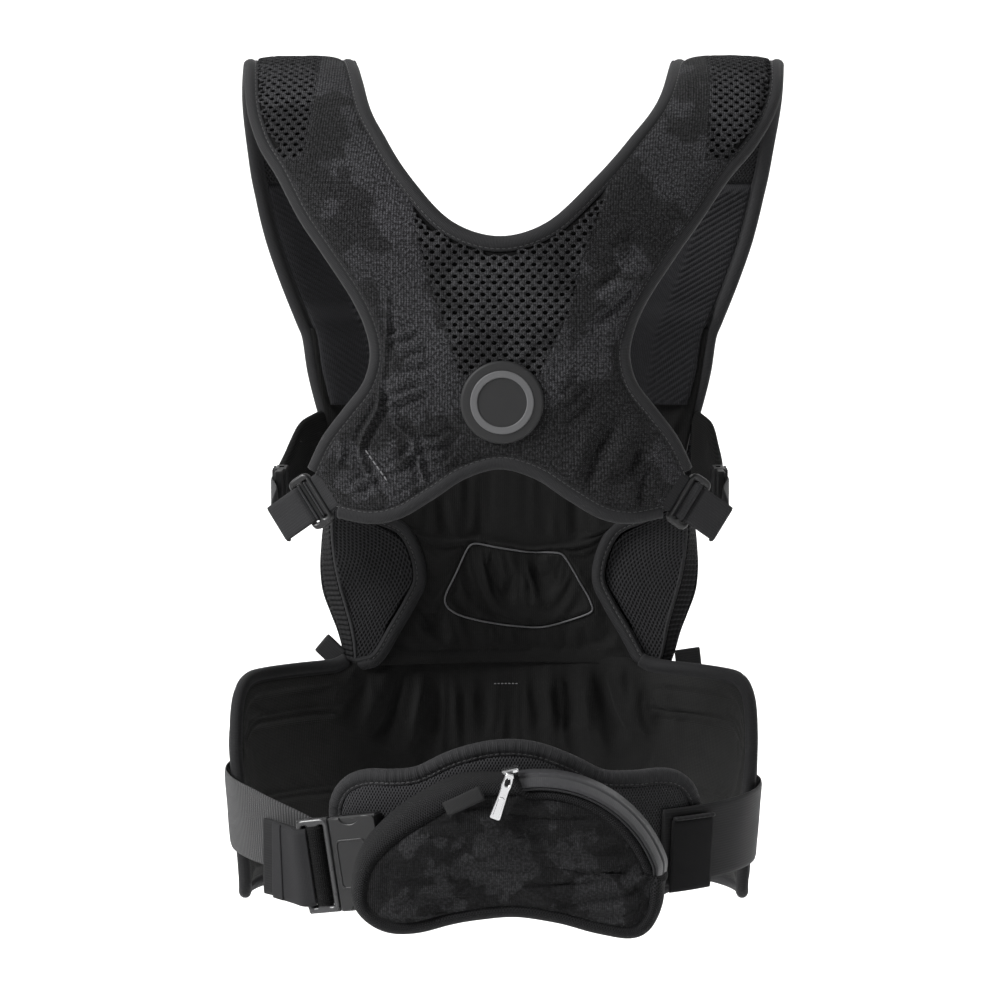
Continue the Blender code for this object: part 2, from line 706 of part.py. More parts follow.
def make_waist_buckle_webbing(matrix):
    """Webbing from the elastic to the back of the plug, and its folded tail in front."""
    rear = 0.0048 - WAIST_BUCKLE["base"]
    across = matrix.to_3x3() @ Vector((0, 1, 0))
    stand = WAIST_BUCKLE["thick"] * PLUG_SHARE / 2 + WEB_T / 2 + 2 * CLEAR
    far = waist_out(math.radians(213), -0.0105, TAIL_OFFSET)
    widths = [Vector((0, 0, 1)).lerp(across, i / 6) for i in range(7)]
    for name, height in (("waist_webbing_left", -stand), ("waist_tail_left", stand)):
        end = matrix @ Vector((rear, 0, height))
        near = matrix @ Vector((rear - 0.008, 0, height))
        start = far if height < 0 else far + (end - far) * 0.08 + matrix.to_3x3() @ Vector(
            (0, 0, 0.0030))
        path = spline([start, start.lerp(near, 0.6), near, end], 7)
        ribbon(name, path, widths, 0.0475, WEBBING)


def make_side_buckle(side, sign):
    origin = Vector((sign * 0.1385, 0.0050, 0.2060))
    matrix = frame_matrix(origin, (0, 1, 0), (0, 0, 1))
    frame = empty("side_buckle_frame_" + side, matrix)
    side_release("side_" + side, frame, SIDE_BUCKLE)
    stand = SIDE_BUCKLE["thick"] * PLUG_SHARE / 2 + WEB_T / 2 + 2 * CLEAR
    bar = matrix @ Vector((0.0048 - SIDE_BUCKLE["base"], 0, sign * stand))
    near = matrix @ Vector((-SIDE_BUCKLE["base"] - 0.003, 0, sign * stand))
    lock = lock_matrix(sign)
    lock_stand = sign * (LOCK_T / 2 + WEB_T / 2 + 2 * CLEAR)
    slot = lock @ Vector((0.0042, 0, lock_stand))
    past = lock @ Vector((0.0120, 0, lock_stand))
    way = lock.to_3x3() @ Vector((0, 1, 0))
    path = spline([slot, past, Vector((sign * 0.1330, -0.062, 0.2005)),
                   Vector((sign * 0.1405, -0.036, 0.2045)), near, bar], 12)
    widths = [way.lerp(Vector((0, 0, 1)), smoothstep(i / 7)) for i in range(12)]
    ribbon("side_webbing_" + side, path, widths, 0.024, WEBBING)


def lock_matrix(sign):
    """Frame of the ladder lock on the yoke's lower corner: X points out along the webbing."""
    low = drape(sign * 0.097, -0.1645)
    high = drape(sign * 0.1125, -0.140)
    across = (high - low).normalized()
    outward = (offset_point(drape, sign * 0.105, -0.152, 0.01) - drape(sign * 0.105, -0.152))
    along = across.cross(outward).normalized()
    if along.x * sign < 0:
        along = -along
    middle = (low + high) / 2 + along * 0.0112
    return frame_matrix(middle, along, across)


def make_ladder_lock(side, sign):
    """Two-slot plastic lock that the side webbing threads through."""
    frame = empty("ladder_lock_frame_" + side, lock_matrix(sign))
    lock = block("ladder_lock_" + side, (0.0140, 0.0325, LOCK_T), (0.0012, 0, 0), PLASTIC,
                 frame, 0.0010)
    for name, place in (("inner", -0.0022), ("outer", 0.0042)):
        cutter = block("lock_cut_%s_%s" % (name, side), (0.0036, 0.0262, 0.01), (place, 0, 0),
                       None, frame, collection=CUTTERS)
        combine(lock, cutter, "DIFFERENCE")


# ================= pouch =================

def pouch_ring(y):
    """Closed outline of the pouch at one depth, drawn in towards the face."""
    arc = []
    start = ZIP_FROM
    stop = math.radians(10)
    for i in range(10):
        angle = start + (stop - start) * i / 9
        arc.append((ZIP_CENTRE[0] + ZIP_R * math.cos(angle),
                    ZIP_CENTRE[1] + ZIP_R * math.sin(angle)))
    share = (y - POUCH_BACK_Y) / (POUCH_FACE_Y - POUCH_BACK_Y)
    ring = []
    for x, z in arc + POUCH_POINTS:
        inward = Vector((POUCH_MIDDLE[0] - x, POUCH_MIDDLE[1] - z)).normalized()
        upper = smoothstep((z + 0.02) / 0.04)
        amount = (0.0005 + 0.0055 * upper) * (share - 0.35) - 0.0010 * math.sin(math.pi * share)
        ring.append(Vector((x + inward.x * amount, y, z + inward.y * amount)))
    return ring


def make_pouch():
    wall_from = POUCH_BACK_Y - 0.0018
    wall_to = POUCH_FACE_Y + 0.0010
    rings = []
    for i in range(4):
        ring = pouch_ring(wall_from + (wall_to - wall_from) * i / 3)
        rings.append(ring + [ring[0]])
    sheet("pouch_gusset", [rings], 0.0016, MESH)
    pouch_panel("pouch_back", POUCH_BACK_Y - 0.0002, POUCH_BACK_CROWN, 0.0, SMOOTH)
    pouch_panel("pouch_face", POUCH_FACE_Y - 0.0014, POUCH_CROWN, 0.0022, KNIT)
    make_zip()


def pouch_panel(name, y, crown, inset, material):
    """Back or face of the pouch: rings that close in on the middle, with a crown."""
    ring = pouch_ring(y)
    middle = Vector((POUCH_MIDDLE[0], y, POUCH_MIDDLE[1]))
    rows = []
    for share in (1.0, 0.82, 0.55, 0.28, 0.0):
        row = []
        for point in ring:
            out = point - middle
            out -= out.normalized() * inset
            lifted = middle + out * share
            lifted.y -= crown * (1 - share ** 2)
            row.append(lifted)
        rows.append(row + [row[0]])
    sheet(name, [rows], POUCH_PANEL_T, material)


def zip_point(angle, y, radial):
    return Vector((ZIP_CENTRE[0] + (ZIP_R + radial) * math.cos(angle), y,
                   ZIP_CENTRE[1] + (ZIP_R + radial) * math.sin(angle)))


def make_zip():
    """Coated zip tape along the gusset's arc, its slider and pull, and a blank fabric tab."""
    rows = []
    for i in range(15):
        angle = ZIP_FROM + (ZIP_TO - ZIP_FROM) * i / 14
        rows.append([zip_point(angle, -0.1435, 0.0030), zip_point(angle, -0.1535, 0.0010)])
    sheet("zip_tape", [rows], 0.0010, COATED)
    place = zip_point(ZIP_FROM, -0.1490, 0.0052)
    tangent = (math.sin(ZIP_FROM), 0, -math.cos(ZIP_FROM))
    frame = empty("zip_slider_frame", frame_matrix(place, tangent, (0, -1, -0.10)))
    slider = block("zip_slider", (0.0100, 0.0085, 0.0030), (0, 0, 0), METAL, frame, 0.0008)
    loop = block("zip_join_loop", (0.0034, 0.0130, 0.0016), (0, 0.0090, 0.0002), None, frame,
                 collection=CUTTERS)
    combine(slider, loop, "UNION")
    pivot = Vector((place.x - 0.0004, -0.1672, place.z - 0.0004))
    hang = Vector((-0.33, 0, -0.944))
    base = empty("zip_pull_frame", frame_matrix(pivot, hang, (0.944, 0, -0.33)))
    end = PULL_LENGTH
    outline = [(-PULL_HEEL, -0.0022), (-PULL_HEEL, 0.0022), (0.0060, 0.0030), (end - 0.0015, 0.0036),
               (end, 0.0024), (end, -0.0024), (end - 0.0015, -0.0036), (0.0060, -0.0030)]
    plate("zip_pull", outline, PULL_T, METAL, base)
    tab = empty("pouch_tab_frame", frame_matrix((-0.0215, -0.1630, 0.0400), (0.90, 0, 0.42),
                                                (-0.42, 0, 0.90)))
    block("pouch_tab", (0.024, 0.0090, 0.0010), (0, 0, 0), TAPE, tab)


# ================= build =================

for old_object in list(bpy.data.objects):
    bpy.data.objects.remove(old_object, do_unlink=True)

PARTS = new_collection("soft_baby_carrier")
CUTTERS = new_collection("cutters")
SIDES = (("right", 1), ("left", -1))

KNIT = new_material("knit_face", (0.030, 0.030, 0.034), 0.90)
MESH = new_material("air_mesh", (0.022, 0.022, 0.024), 0.85)
RIBBED = new_material("ribbed_spacer", (0.024, 0.024, 0.028), 0.85)
SMOOTH = new_material("smooth_lining", (0.010, 0.010, 0.011), 0.80)
LINING = new_material("yoke_lining", (0.014, 0.014, 0.016), 0.85)
BINDING = new_material("binding_tape", (0.035, 0.035, 0.038), 0.75)
FOAM_CORE = new_material("foam_core", (0.35, 0.35, 0.36), 0.95)
WEBBING = new_material("webbing", (0.020, 0.020, 0.023), 0.60)
ELASTIC = new_material("elastic_webbing", (0.050, 0.050, 0.054), 0.70)
PLASTIC = new_material("buckle_plastic", (0.018, 0.018, 0.020), 0.35)
RUBBER = new_material("badge_rubber", (0.050, 0.050, 0.054), 0.55)
COATED = new_material("coated_zip_tape", (0.045, 0.045, 0.048), 0.30)
METAL = new_material("zip_metal", (0.45, 0.45, 0.46), 0.30, 1.0)
TAPE = new_material("satin_tape", (0.060, 0.060, 0.064), 0.50)

make_yoke()
make_badge()
make_straps()
make_panel()
make_belt()
make_lumbar()
make_waist_straps()
make_waist_buckle_webbing(make_waist_buckle())
for side_name, side_sign in SIDES:
    make_side_buckle(side_name, side_sign)
    make_ladder_lock(side_name, side_sign)
make_pouch()
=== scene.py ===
"""Looks of the soft baby carrier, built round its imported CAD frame.

+X is the wearer's right, +Y the way the wearer faces, +Z up; everything is in metres.
Soft parts are laid on the CAD's three base surfaces: the shoulder drape, the chest front and
the waist loop. A part's own pattern is drawn in its surface's two lengths, so every UV map is
in metres too.
"""
import math

import bmesh
import bpy
import numpy as np
from mathutils import Matrix, Vector


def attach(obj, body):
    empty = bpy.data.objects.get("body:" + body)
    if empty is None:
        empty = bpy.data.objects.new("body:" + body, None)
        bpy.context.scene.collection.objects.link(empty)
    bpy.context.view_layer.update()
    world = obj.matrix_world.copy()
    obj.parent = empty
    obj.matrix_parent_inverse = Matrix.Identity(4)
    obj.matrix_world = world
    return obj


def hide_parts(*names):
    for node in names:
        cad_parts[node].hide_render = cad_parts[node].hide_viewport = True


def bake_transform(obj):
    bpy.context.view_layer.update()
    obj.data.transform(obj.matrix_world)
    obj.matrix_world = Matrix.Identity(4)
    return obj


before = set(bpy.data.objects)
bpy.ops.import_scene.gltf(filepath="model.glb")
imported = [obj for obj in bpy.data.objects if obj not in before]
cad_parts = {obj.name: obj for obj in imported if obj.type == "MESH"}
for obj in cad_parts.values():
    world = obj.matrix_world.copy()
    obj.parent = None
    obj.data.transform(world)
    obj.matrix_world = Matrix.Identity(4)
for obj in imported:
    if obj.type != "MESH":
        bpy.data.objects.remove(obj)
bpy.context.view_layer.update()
HARNESS = "harness"
YOKE = "yoke"
SIDES = (("right", 1), ("left", -1))

# ---- stage, light and camera ----
FLOOR_Z = -0.45
ROOM_LIGHT = 0.34
KEY_LIGHT = 5.8
BACK_LIGHT = 1.2
CAMERA_AWAY = 2.4
CAMERA_TILT = 6.0
CAMERA_HEIGHT = 0.2022
CAMERA_FOCUS = 3809.5     # lens, in thousandths of the sensor's width

# ---- base surfaces, as in the CAD ----
BIND_R = 0.0045
EDGE = BIND_R + 0.0008
FACE_INSET = EDGE - 0.0012    # a face ends this far short of its line, inside the binding
SKIN_GAP = 0.0002             # each of two sewn skins stands this far off their common surface
ARCH_Y = -0.006
ARCH_HALF = 0.108
ARCH_RISE = 0.104
SPRING_Z = 0.370
ARCH_LENGTH = math.pi * 0.106
BACK_ROUND = 1.9
FRONT_ROUND = 1.3
SHOULDER_LEAN = 0.0085
FRONT_LEAN = 0.006
TOP_S = ARCH_LENGTH / 2
STRAP_END_Z = 0.300
STRAP_END_S = ARCH_LENGTH + SPRING_Z - STRAP_END_Z
WAIST_X = -0.004
WAIST_HALF = 0.163
WAIST_FRONT = 0.104
WAIST_BACK = 0.1175
STRAP_OFFSET = 0.0072
TAIL_OFFSET = 0.0102
BELT_TOP = 0.0795
BELT_MID_TOP = 0.0885
BELT_BOTTOM = -0.042

# ---- pattern outlines; a right half is mirrored for the left ----
# yoke and straps: (x, s) on the shoulder drape
NECK_LINE = [(0, -0.002), (0.0305, 0.0072), (0.057, 0.0335), (0.0765, 0.0615),
             (0.0925, 0.0965), (0.103, TOP_S)]
ARM_LINE = [(0.1125, -0.140), (0.1035, -0.1215), (0.0905, -0.104), (0.0785, -0.0878),
            (0.0738, -0.070), (0.077, -0.052), (0.0865, -0.032), (0.104, -0.006),
            (0.117, 0.0125), (0.1325, 0.0385), (0.149, 0.064), (0.1595, 0.100), (0.1635, TOP_S)]
LOWER_LINE = [(0, -0.133), (0.0225, -0.1392), (0.042, -0.152), (0.0615, -0.1637),
              (0.0785, -0.1672), (0.097, -0.1645)]
STRAP_OUTER = [(0.1635, TOP_S), (0.1665, 0.2355), (0.163, 0.286), (0.1585, 0.3138),
               (0.1525, 0.340), (0.144, 0.366), (0.134, 0.392), (0.130, STRAP_END_S)]
STRAP_INNER = [(0.103, TOP_S), (0.1015, 0.2355), (0.097, 0.286), (0.092, 0.3138),
               (0.0855, 0.340), (0.0765, 0.366), (0.0665, 0.392), (0.0625, STRAP_END_S)]
# baby panel and leg openings: (x, z) on the chest front
LINING_EDGE = [(0.130, 0.2995), (0.1225, 0.2587), (0.116, 0.225), (0.1085, 0.196),
               (0.090, 0.1835), (0.0715, 0.1745), (0.0620, 0.159), (0.0590, 0.140),
               (0.066, 0.124), (0.0765, 0.1065), (0.0865, 0.0895)]
SHELL_EDGE = [(0.130, 0.2995), (0.1225, 0.2587), (0.117, 0.225), (0.1145, 0.196),
              (0.1150, 0.178), (0.1160, 0.163), (0.1165, 0.148), (0.1150, 0.133),
              (0.1105, 0.117), (0.1065, 0.103), (0.1035, 0.0895)]
GUSSET_INNER = [(0.1065, 0.1885), (0.089, 0.1775), (0.0735, 0.1685), (0.0665, 0.156),
                (0.0640, 0.140), (0.0715, 0.1255), (0.0815, 0.109), (0.0905, 0.0945)]
GUSSET_OUTER = [(0.1125, 0.190), (0.1135, 0.181), (0.1135, 0.171), (0.112, 0.155),
                (0.109, 0.139), (0.105, 0.1235), (0.1012, 0.108), (0.0985, 0.0955)]
ELASTIC_OUTER = [(0.1150, 0.1885), (0.1152, 0.180), (0.1158, 0.167), (0.1162, 0.153),
                 (0.1152, 0.1385), (0.1112, 0.122), (0.1070, 0.108), (0.1040, 0.0965)]
PANEL_BULGE = 0.017
# lumbar pad: (x, z) on the back of the waist loop
LUMBAR_TOP = [(-0.096, 0.024), (-0.091, 0.0345), (-0.080, 0.0402), (-0.062, 0.0412),
              (-0.047, 0.0440), (-0.030, 0.0528), (-0.013, 0.0585), (0.005, 0.0608),
              (0.022, 0.0585), (0.041, 0.0508), (0.060, 0.0408), (0.080, 0.0388),
              (0.100, 0.0385), (0.110, 0.0330), (0.1155, 0.022)]
LUMBAR_BOTTOM = [(-0.096, -0.012), (-0.085, -0.022), (-0.060, -0.028), (-0.030, -0.027),
                 (0.005, -0.024), (0.040, -0.027), (0.075, -0.028), (0.103, -0.022),
                 (0.1155, -0.012)]
# pouch: (x, z), seen from the front
ZIP_CENTRE = np.array((0.0239, -0.0255))
ZIP_R = 0.0782
ZIP_FROM = math.radians(102.4)
POUCH_BACK_Y = -0.1268
FACE_SEAM_Y = -0.1556      # where the pouch's face meets its gusset
POUCH_POINTS = [(0.0985, -0.011), (0.0965, -0.028), (0.089, -0.041), (0.077, -0.0455),
                (0.058, -0.0425), (0.033, -0.036), (0.005, -0.0325), (-0.028, -0.037),
                (-0.050, -0.0425), (-0.066, -0.0425), (-0.079, -0.0365), (-0.087, -0.0265),
                (-0.088, -0.013), (-0.083, 0.0055), (-0.067, 0.025), (-0.046, 0.040),
                (-0.022, 0.0505)]
POUCH_MIDDLE = np.array((0.005, 0.004))


# ================= curves and surfaces =================

def step(value):
    """Smooth rise from 0 to 1."""
    value = np.clip(value, 0.0, 1.0)
    return value * value * (3 - 2 * value)


def dome(value):
    """Quarter-round rise from 0 to 1."""
    return np.sqrt(np.clip(1 - (1 - np.clip(value, 0.0, 1.0)) ** 2, 0.0, 1.0))


def unit(vectors):
    """The same directions at length 1."""
    return vectors / np.maximum(np.linalg.norm(vectors, axis=-1, keepdims=True), 1e-12)


def arc(points):
    """Distance along a line of points."""
    return np.concatenate([[0.0], np.cumsum(np.linalg.norm(np.diff(points, axis=0), axis=1))])


def resample(points, count):
    """Count points evenly spaced along a line of points."""
    lengths = arc(points)
    at = np.linspace(0.0, lengths[-1], count)
    return np.stack([np.interp(at, lengths, column) for column in points.T], 1)


def spline(points, count, crosses_centre=False):
    """Count points evenly spaced on a smooth curve through the given points."""
    knots = np.array(points, float)
    before = knots[1] * (-1, 1) if crosses_centre else 2 * knots[0] - knots[1]
    knots = np.vstack([before, knots, 2 * knots[-1] - knots[-2]])
    t = np.arange(16)[:, None] / 16
    fine = [0.5 * (2 * b + (c - a) * t + (2 * a - 5 * b + 4 * c - d) * t ** 2
                   + (3 * b - a - 3 * c + d) * t ** 3)
            for a, b, c, d in zip(knots, knots[1:], knots[2:], knots[3:])]
    return resample(np.vstack(fine + [knots[-2:-1]]), count)


def softened(path, times, closed=False):
    """A line of points evened out a number of times; an open line keeps its ends."""
    path = np.array(path, float)
    for _ in range(times):
        if closed:
            path = (np.roll(path, 1, 0) + 2 * path + np.roll(path, -1, 0)) / 4
        else:
            path[1:-1] = (path[:-2] + 2 * path[1:-1] + path[2:]) / 4
    return path


def pairs(a, b):
    """Two arrays, of the same shape once broadcast, as an array of (a, b)."""
    return np.stack(np.broadcast_arrays(a, b), -1)


def tangents(path, closed=False):
    """Unit directions along a line of points."""
    if closed:
        return unit(np.roll(path, -1, 0) - np.roll(path, 1, 0))
    return unit(np.gradient(path, axis=0))


def shifted(points, distance):
    """A plane curve moved sideways: positive is to its left."""
    along = tangents(points)
    return points + distance * pairs(-along[:, 1], along[:, 0])


def line(a, b, count):
    """Count points on the straight line from a to b."""
    share = np.linspace(0, 1, count)[:, None]
    return np.asarray(a, float) * (1 - share) + np.asarray(b, float) * share


def mirrored(points):
    """A right-half curve carried over to the left half, as one curve from left to right."""
    return np.vstack([points[:0:-1] * (-1, 1), points])


def drape(x, s):
    """Shoulder drape: s runs up the back, over the shoulder and down the front."""
    phi = np.clip(s / ARCH_LENGTH, 0.0, 1.0) * math.pi
    back = phi < math.pi / 2
    y = ARCH_Y - ARCH_HALF * np.cos(phi)
    y = y + np.where(back, BACK_ROUND, FRONT_ROUND) * x * x * np.cos(phi)
    z = SPRING_Z + ARCH_RISE * np.sin(phi) + np.minimum(s, 0.0) - np.maximum(s - ARCH_LENGTH, 0.0)
    lean = np.where(back, SHOULDER_LEAN * step(s / (0.7 * TOP_S)),
                    SHOULDER_LEAN + (FRONT_LEAN - SHOULDER_LEAN) * step((s - TOP_S) / TOP_S))
    return np.stack([x + lean, y, z], -1)


def chest(x, z):
    """Chest front under the baby panel."""
    low = (STRAP_END_Z - z) / (STRAP_END_Z - 0.09)
    y = ARCH_Y + ARCH_HALF - (FRONT_ROUND + 0.6 * low) * x * x + 0.0015 * low
    return np.stack([x + FRONT_LEAN * step((z - 0.05) / 0.05), y, z], -1)


def waist(angle, z):
    """Waist loop: angle 0 is the wearer's right, a quarter turn on is the front."""
    half = WAIST_HALF - 0.005 * step((0.05 - z) / 0.1)
    depth = np.where(np.sin(angle) >= 0, WAIST_FRONT, WAIST_BACK)
    return np.stack([WAIST_X + half * np.cos(angle), depth * np.sin(angle), z + 0 * angle], -1)


def back_angle(x):
    """Angle round the back of the waist loop at a given x."""
    return -np.arccos((x - WAIST_X) / WAIST_HALF)


def normals(surface, a, b):
    """Outward unit normals of a base surface."""
    tiny = 0.0005
    point = surface(a, b)
    square = unit(np.cross(surface(a + tiny, b) - point, surface(a, b + tiny) - point))
    return -square if surface is chest else square


def lay(surface, plan, height):
    """Points of the plane pattern laid on a surface, raised by one height or by each its own."""
    a, b = plan[..., 0], plan[..., 1]
    return surface(a, b) + normals(surface, a, b) * np.asarray(height)[..., None]


def ripple(a, b, pitch, phase=0.0):
    """Gentle uneven swell of -1 to 1, the same on every run."""
    a, b = a / pitch, b / pitch
    return (np.sin(6.1 * a + 1.7 * b + phase) + np.sin(2.3 * a - 5.2 * b + 2.1 * phase + 1)
            + np.sin(4.4 * a + 4.9 * b + 0.7 * phase + 2.3)
            + np.sin(-3.1 * a + 7.7 * b + 1.3 * phase + 4)) / 4


def nearest(plan, path):
    """Each pattern point's distance from a polyline, and how far along it that is."""
    path = np.asarray(path, float)
    best = np.full(len(plan), np.inf)
    along = np.zeros(len(plan))
    for p, q, start in zip(path, path[1:], arc(path)):
        run = q - p
        share = np.clip(((plan - p) @ run) / max(run @ run, 1e-12), 0, 1)
        away = np.linalg.norm(plan - p - share[:, None] * run, axis=1)
        along = np.where(away < best, start + share * np.linalg.norm(run), along)
        best = np.minimum(best, away)
    return best, along


def distance(plan, path):
    """Each pattern point's distance from a polyline."""
    return nearest(plan, path)[0]


def creases(plan, folds, sharp=1.0):
    """Height that sewn or pressed folds add: a groove with a soft swell on both sides.

    Each fold is (depth, width, points) and fades towards its ends.
    """
    height = np.zeros(len(plan))
    for depth, width, points in folds:
        path = spline(points, 4 * len(points)) if len(points) > 2 else line(*points, 6)
        away, along = nearest(plan, path)
        away = away / width
        length = arc(path)[-1]
        deep = depth * (0.2 + 0.8 * step(np.minimum(along, length - along) / (0.3 * length)))
        height -= deep * np.exp(-(away / sharp) ** 2)
        height += 0.75 * deep * np.exp(-((away - 1.0 - sharp) / 0.9) ** 2)
    return height


# ================= meshes =================

def grid_quads(rows, cols, wrap=False):
    """Quads of a grid of rows x cols points; wrap joins the last column to the first."""
    i = np.arange(rows - 1)[:, None] * cols
    j = np.arange(cols if wrap else cols - 1)[None, :]
    k = (j + 1) % cols
    return np.stack([i + j, i + k, i + cols + k, i + cols + j], -1).reshape(-1, 4)


SAME_NAME = "same name"     # for a piece that stands for the CAD node of its own name


def make_object(name, points, faces, material, slot, body, uv=None, ties=()):
    """A mesh object that rides on a CAD body. Ties are the CAD nodes that it stands for."""
    mesh = bpy.data.meshes.new(name)
    mesh.from_pydata(np.asarray(points).tolist(), [], [list(map(int, f)) for f in faces])
    if uv is not None:
        corner = np.zeros(len(mesh.loops), np.int64)
        mesh.loops.foreach_get("vertex_index", corner)
        layer = mesh.uv_layers.new(name="UVMap")
        layer.data.foreach_set("uv", np.asarray(uv, np.float32)[corner].ravel())
    mesh.materials.append(material)
    mesh.shade_smooth()
    mesh.validate()
    obj = bpy.data.objects.new(name, mesh)
    bpy.context.scene.collection.objects.link(obj)
    if ties == SAME_NAME:
        ties = (name,)
    if ties:
        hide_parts(*ties)
    if body:
        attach(obj, body)
    return obj


def wall_quads(quads, count):
    """Quads that join the open edge of an outer skin to the inner skin's same points."""
    a = quads
    b = np.roll(quads, -1, axis=1)
    keys = (a * count + b).ravel()
    back = (b * count + a).ravel()
    keep = ~np.isin(keys, back)
    a, b = a.ravel()[keep], b.ravel()[keep]
    return np.stack([b, a, a + count, b + count], -1)


def shell(name, outer, inner, quads, uv, *args, **kwargs):
    """Closed body between an outer and an inner skin over the same points."""
    count = len(outer)
    quads = np.asarray(quads)
    faces = np.vstack([quads, quads[:, ::-1] + count, wall_quads(quads, count)])
    return make_object(name, np.vstack([outer, inner]), faces, *args,
                       uv=np.vstack([uv, uv]), **kwargs)


def merge(plan, quads, *values):
    """Joins pattern points that lie on each other; values hold one number for each point."""
    _, first, same = np.unique(np.round(plan, 6), axis=0, return_index=True, return_inverse=True)
    return plan[first], same.reshape(-1)[quads], *(value[first] for value in values)


def second_material(obj, material, chosen):
    """Gives a second material to the chosen ones of a body's first faces."""
    obj.data.materials.append(material)
    index = np.zeros(len(obj.data.polygons), np.int32)
    index[:len(chosen)] = chosen
    obj.data.polygons.foreach_set("material_index", index)


def sweep(name, path, up, profile, *args, closed=False, flip=1, **kwargs):
    """A profile of (across, up) points carried along a line. Across points to the right of
    the line seen from outside, or to the left with flip -1."""
    path = np.asarray(path)
    along = tangents(path, closed)
    across = unit(np.cross(along, up)) * flip
    lift = unit(np.cross(across, along)) * flip
    profile = np.asarray(profile)
    rings = (path[:, None] + across[:, None] * profile[None, :, :1]
             + lift[:, None] * profile[None, :, 1:2])
    rows, cols = len(path), len(profile)
    if closed:
        rings = np.concatenate([rings, rings[:1]])
        rows += 1
    girth = arc(np.vstack([profile, profile[:1]]))
    runs = arc(rings.mean(1))
    uv = pairs(runs[:, None], girth[None, :-1]).reshape(-1, 2)
    quads = grid_quads(rows, cols, wrap=True)
    if flip < 0:
        quads = quads[:, ::-1]
    faces = quads.tolist()
    points = rings.reshape(-1, 3)
    if closed:
        last = (rows - 1) * cols
        faces = [[v - last if v >= last else v for v in face] for face in faces]
        points, uv = points[:last], uv[:last]
    else:
        caps = [list(range(cols)), list(range((rows - 1) * cols, rows * cols))[::-1]]
        if flip > 0:
            caps = [cap[::-1] for cap in caps]
        faces += caps
    return make_object(name, points, faces, *args, uv=uv, **kwargs)


def round_profile(width, height, count=12, power=2.4):
    """Closed rounded profile, width across and height up."""
    angle = np.linspace(0, 2 * math.pi, count, endpoint=False)
    c, s = np.cos(angle), np.sin(angle)
    return np.stack([np.sign(c) * np.abs(c) ** (2 / power) * width / 2,
                     np.sign(s) * np.abs(s) ** (2 / power) * height / 2], 1)


STITCH = np.array([(t, r * math.cos(a), r * math.sin(a))
                   for t, r in ((-0.5, 0.35), (-0.3, 1.0), (0.3, 1.0), (0.5, 0.35))
                   for a in np.arange(5) * 2 * math.pi / 5])


def stitches(name, lines, *args, length=0.0024, pitch=0.0034, thick=0.00026, **kwargs):
    """Rows of thread stitches as one piece. Each line is (path, up)."""
    points, faces = [], []
    ring = grid_quads(4, 5, wrap=True)
    caps = [[4, 3, 2, 1, 0], [15, 16, 17, 18, 19]]
    for path, up in lines:
        count = max(2, int(arc(path)[-1] / pitch))
        centre = resample(path, count)
        over = unit(resample(np.asarray(up) + 0 * path, count))
        along = tangents(centre)
        across = np.cross(along, over)
        for c, t, a, u in zip(centre, along, across, over):
            start = len(points) * 20
            points.append(c + STITCH[:, :1] * t * length + STITCH[:, 1:2] * a * thick
                          + STITCH[:, 2:] * u * thick)
            faces += (ring + start).tolist() + [[v + start for v in cap] for cap in caps]
    points = np.vstack(points)
    return make_object(name, points, faces, *args, uv=points[:, :2], **kwargs)


def placed(points, matrix):
    """Points of a frame carried to the world."""
    return np.asarray(points) @ np.array(matrix.to_3x3()).T + np.array(matrix.translation)


def settle(points, quads, held, slack, cap, gravity=0.0, frames=18, bending=0.4):
    """Lets one skin settle as cloth between its sewn places.

    held is 1 where it is sewn down and 0 where it is free, slack is how much longer the cloth
    is than the space it has, and cap is the furthest that a point may move.
    """
    points = np.asarray(points, float)
    mesh = bpy.data.meshes.new("cloth")
    mesh.from_pydata(points.tolist(), [], np.asarray(quads).tolist())
    obj = bpy.data.objects.new("cloth", mesh)
    scene = bpy.context.scene
    scene.collection.objects.link(obj)
    group = obj.vertex_groups.new(name="sewn")
    for index in np.nonzero(held > 0.02)[0]:
        group.add([int(index)], float(held[index]), "REPLACE")
    cloth = obj.modifiers.new("Cloth", "CLOTH")
    rules = cloth.settings
    rules.quality = 7
    rules.mass = 0.15
    rules.tension_stiffness = 12
    rules.compression_stiffness = 12
    rules.shear_stiffness = 4
    rules.bending_stiffness = bending
    rules.air_damping = 2
    rules.vertex_group_mass = "sewn"
    rules.shrink_min = -slack
    rules.effector_weights.gravity = gravity
    cloth.point_cache.frame_start = 1
    cloth.point_cache.frame_end = frames
    for number in range(1, frames + 1):
        scene.frame_set(number)
    shape = obj.evaluated_get(bpy.context.evaluated_depsgraph_get())
    after = np.empty(len(points) * 3)
    shape.data.vertices.foreach_get("co", after)
    scene.frame_set(1)
    bpy.data.objects.remove(obj, do_unlink=True)
    move = np.nan_to_num(after.reshape(-1, 3) - points)
    size = np.linalg.norm(move, axis=1, keepdims=True)
    return points + move * np.minimum(1.0, cap / np.maximum(size, 1e-9))


# ================= materials =================

def set_inputs(node, values):
    """Sets inputs of a node by name."""
    for key, value in values.items():
        node.inputs[key].default_value = value


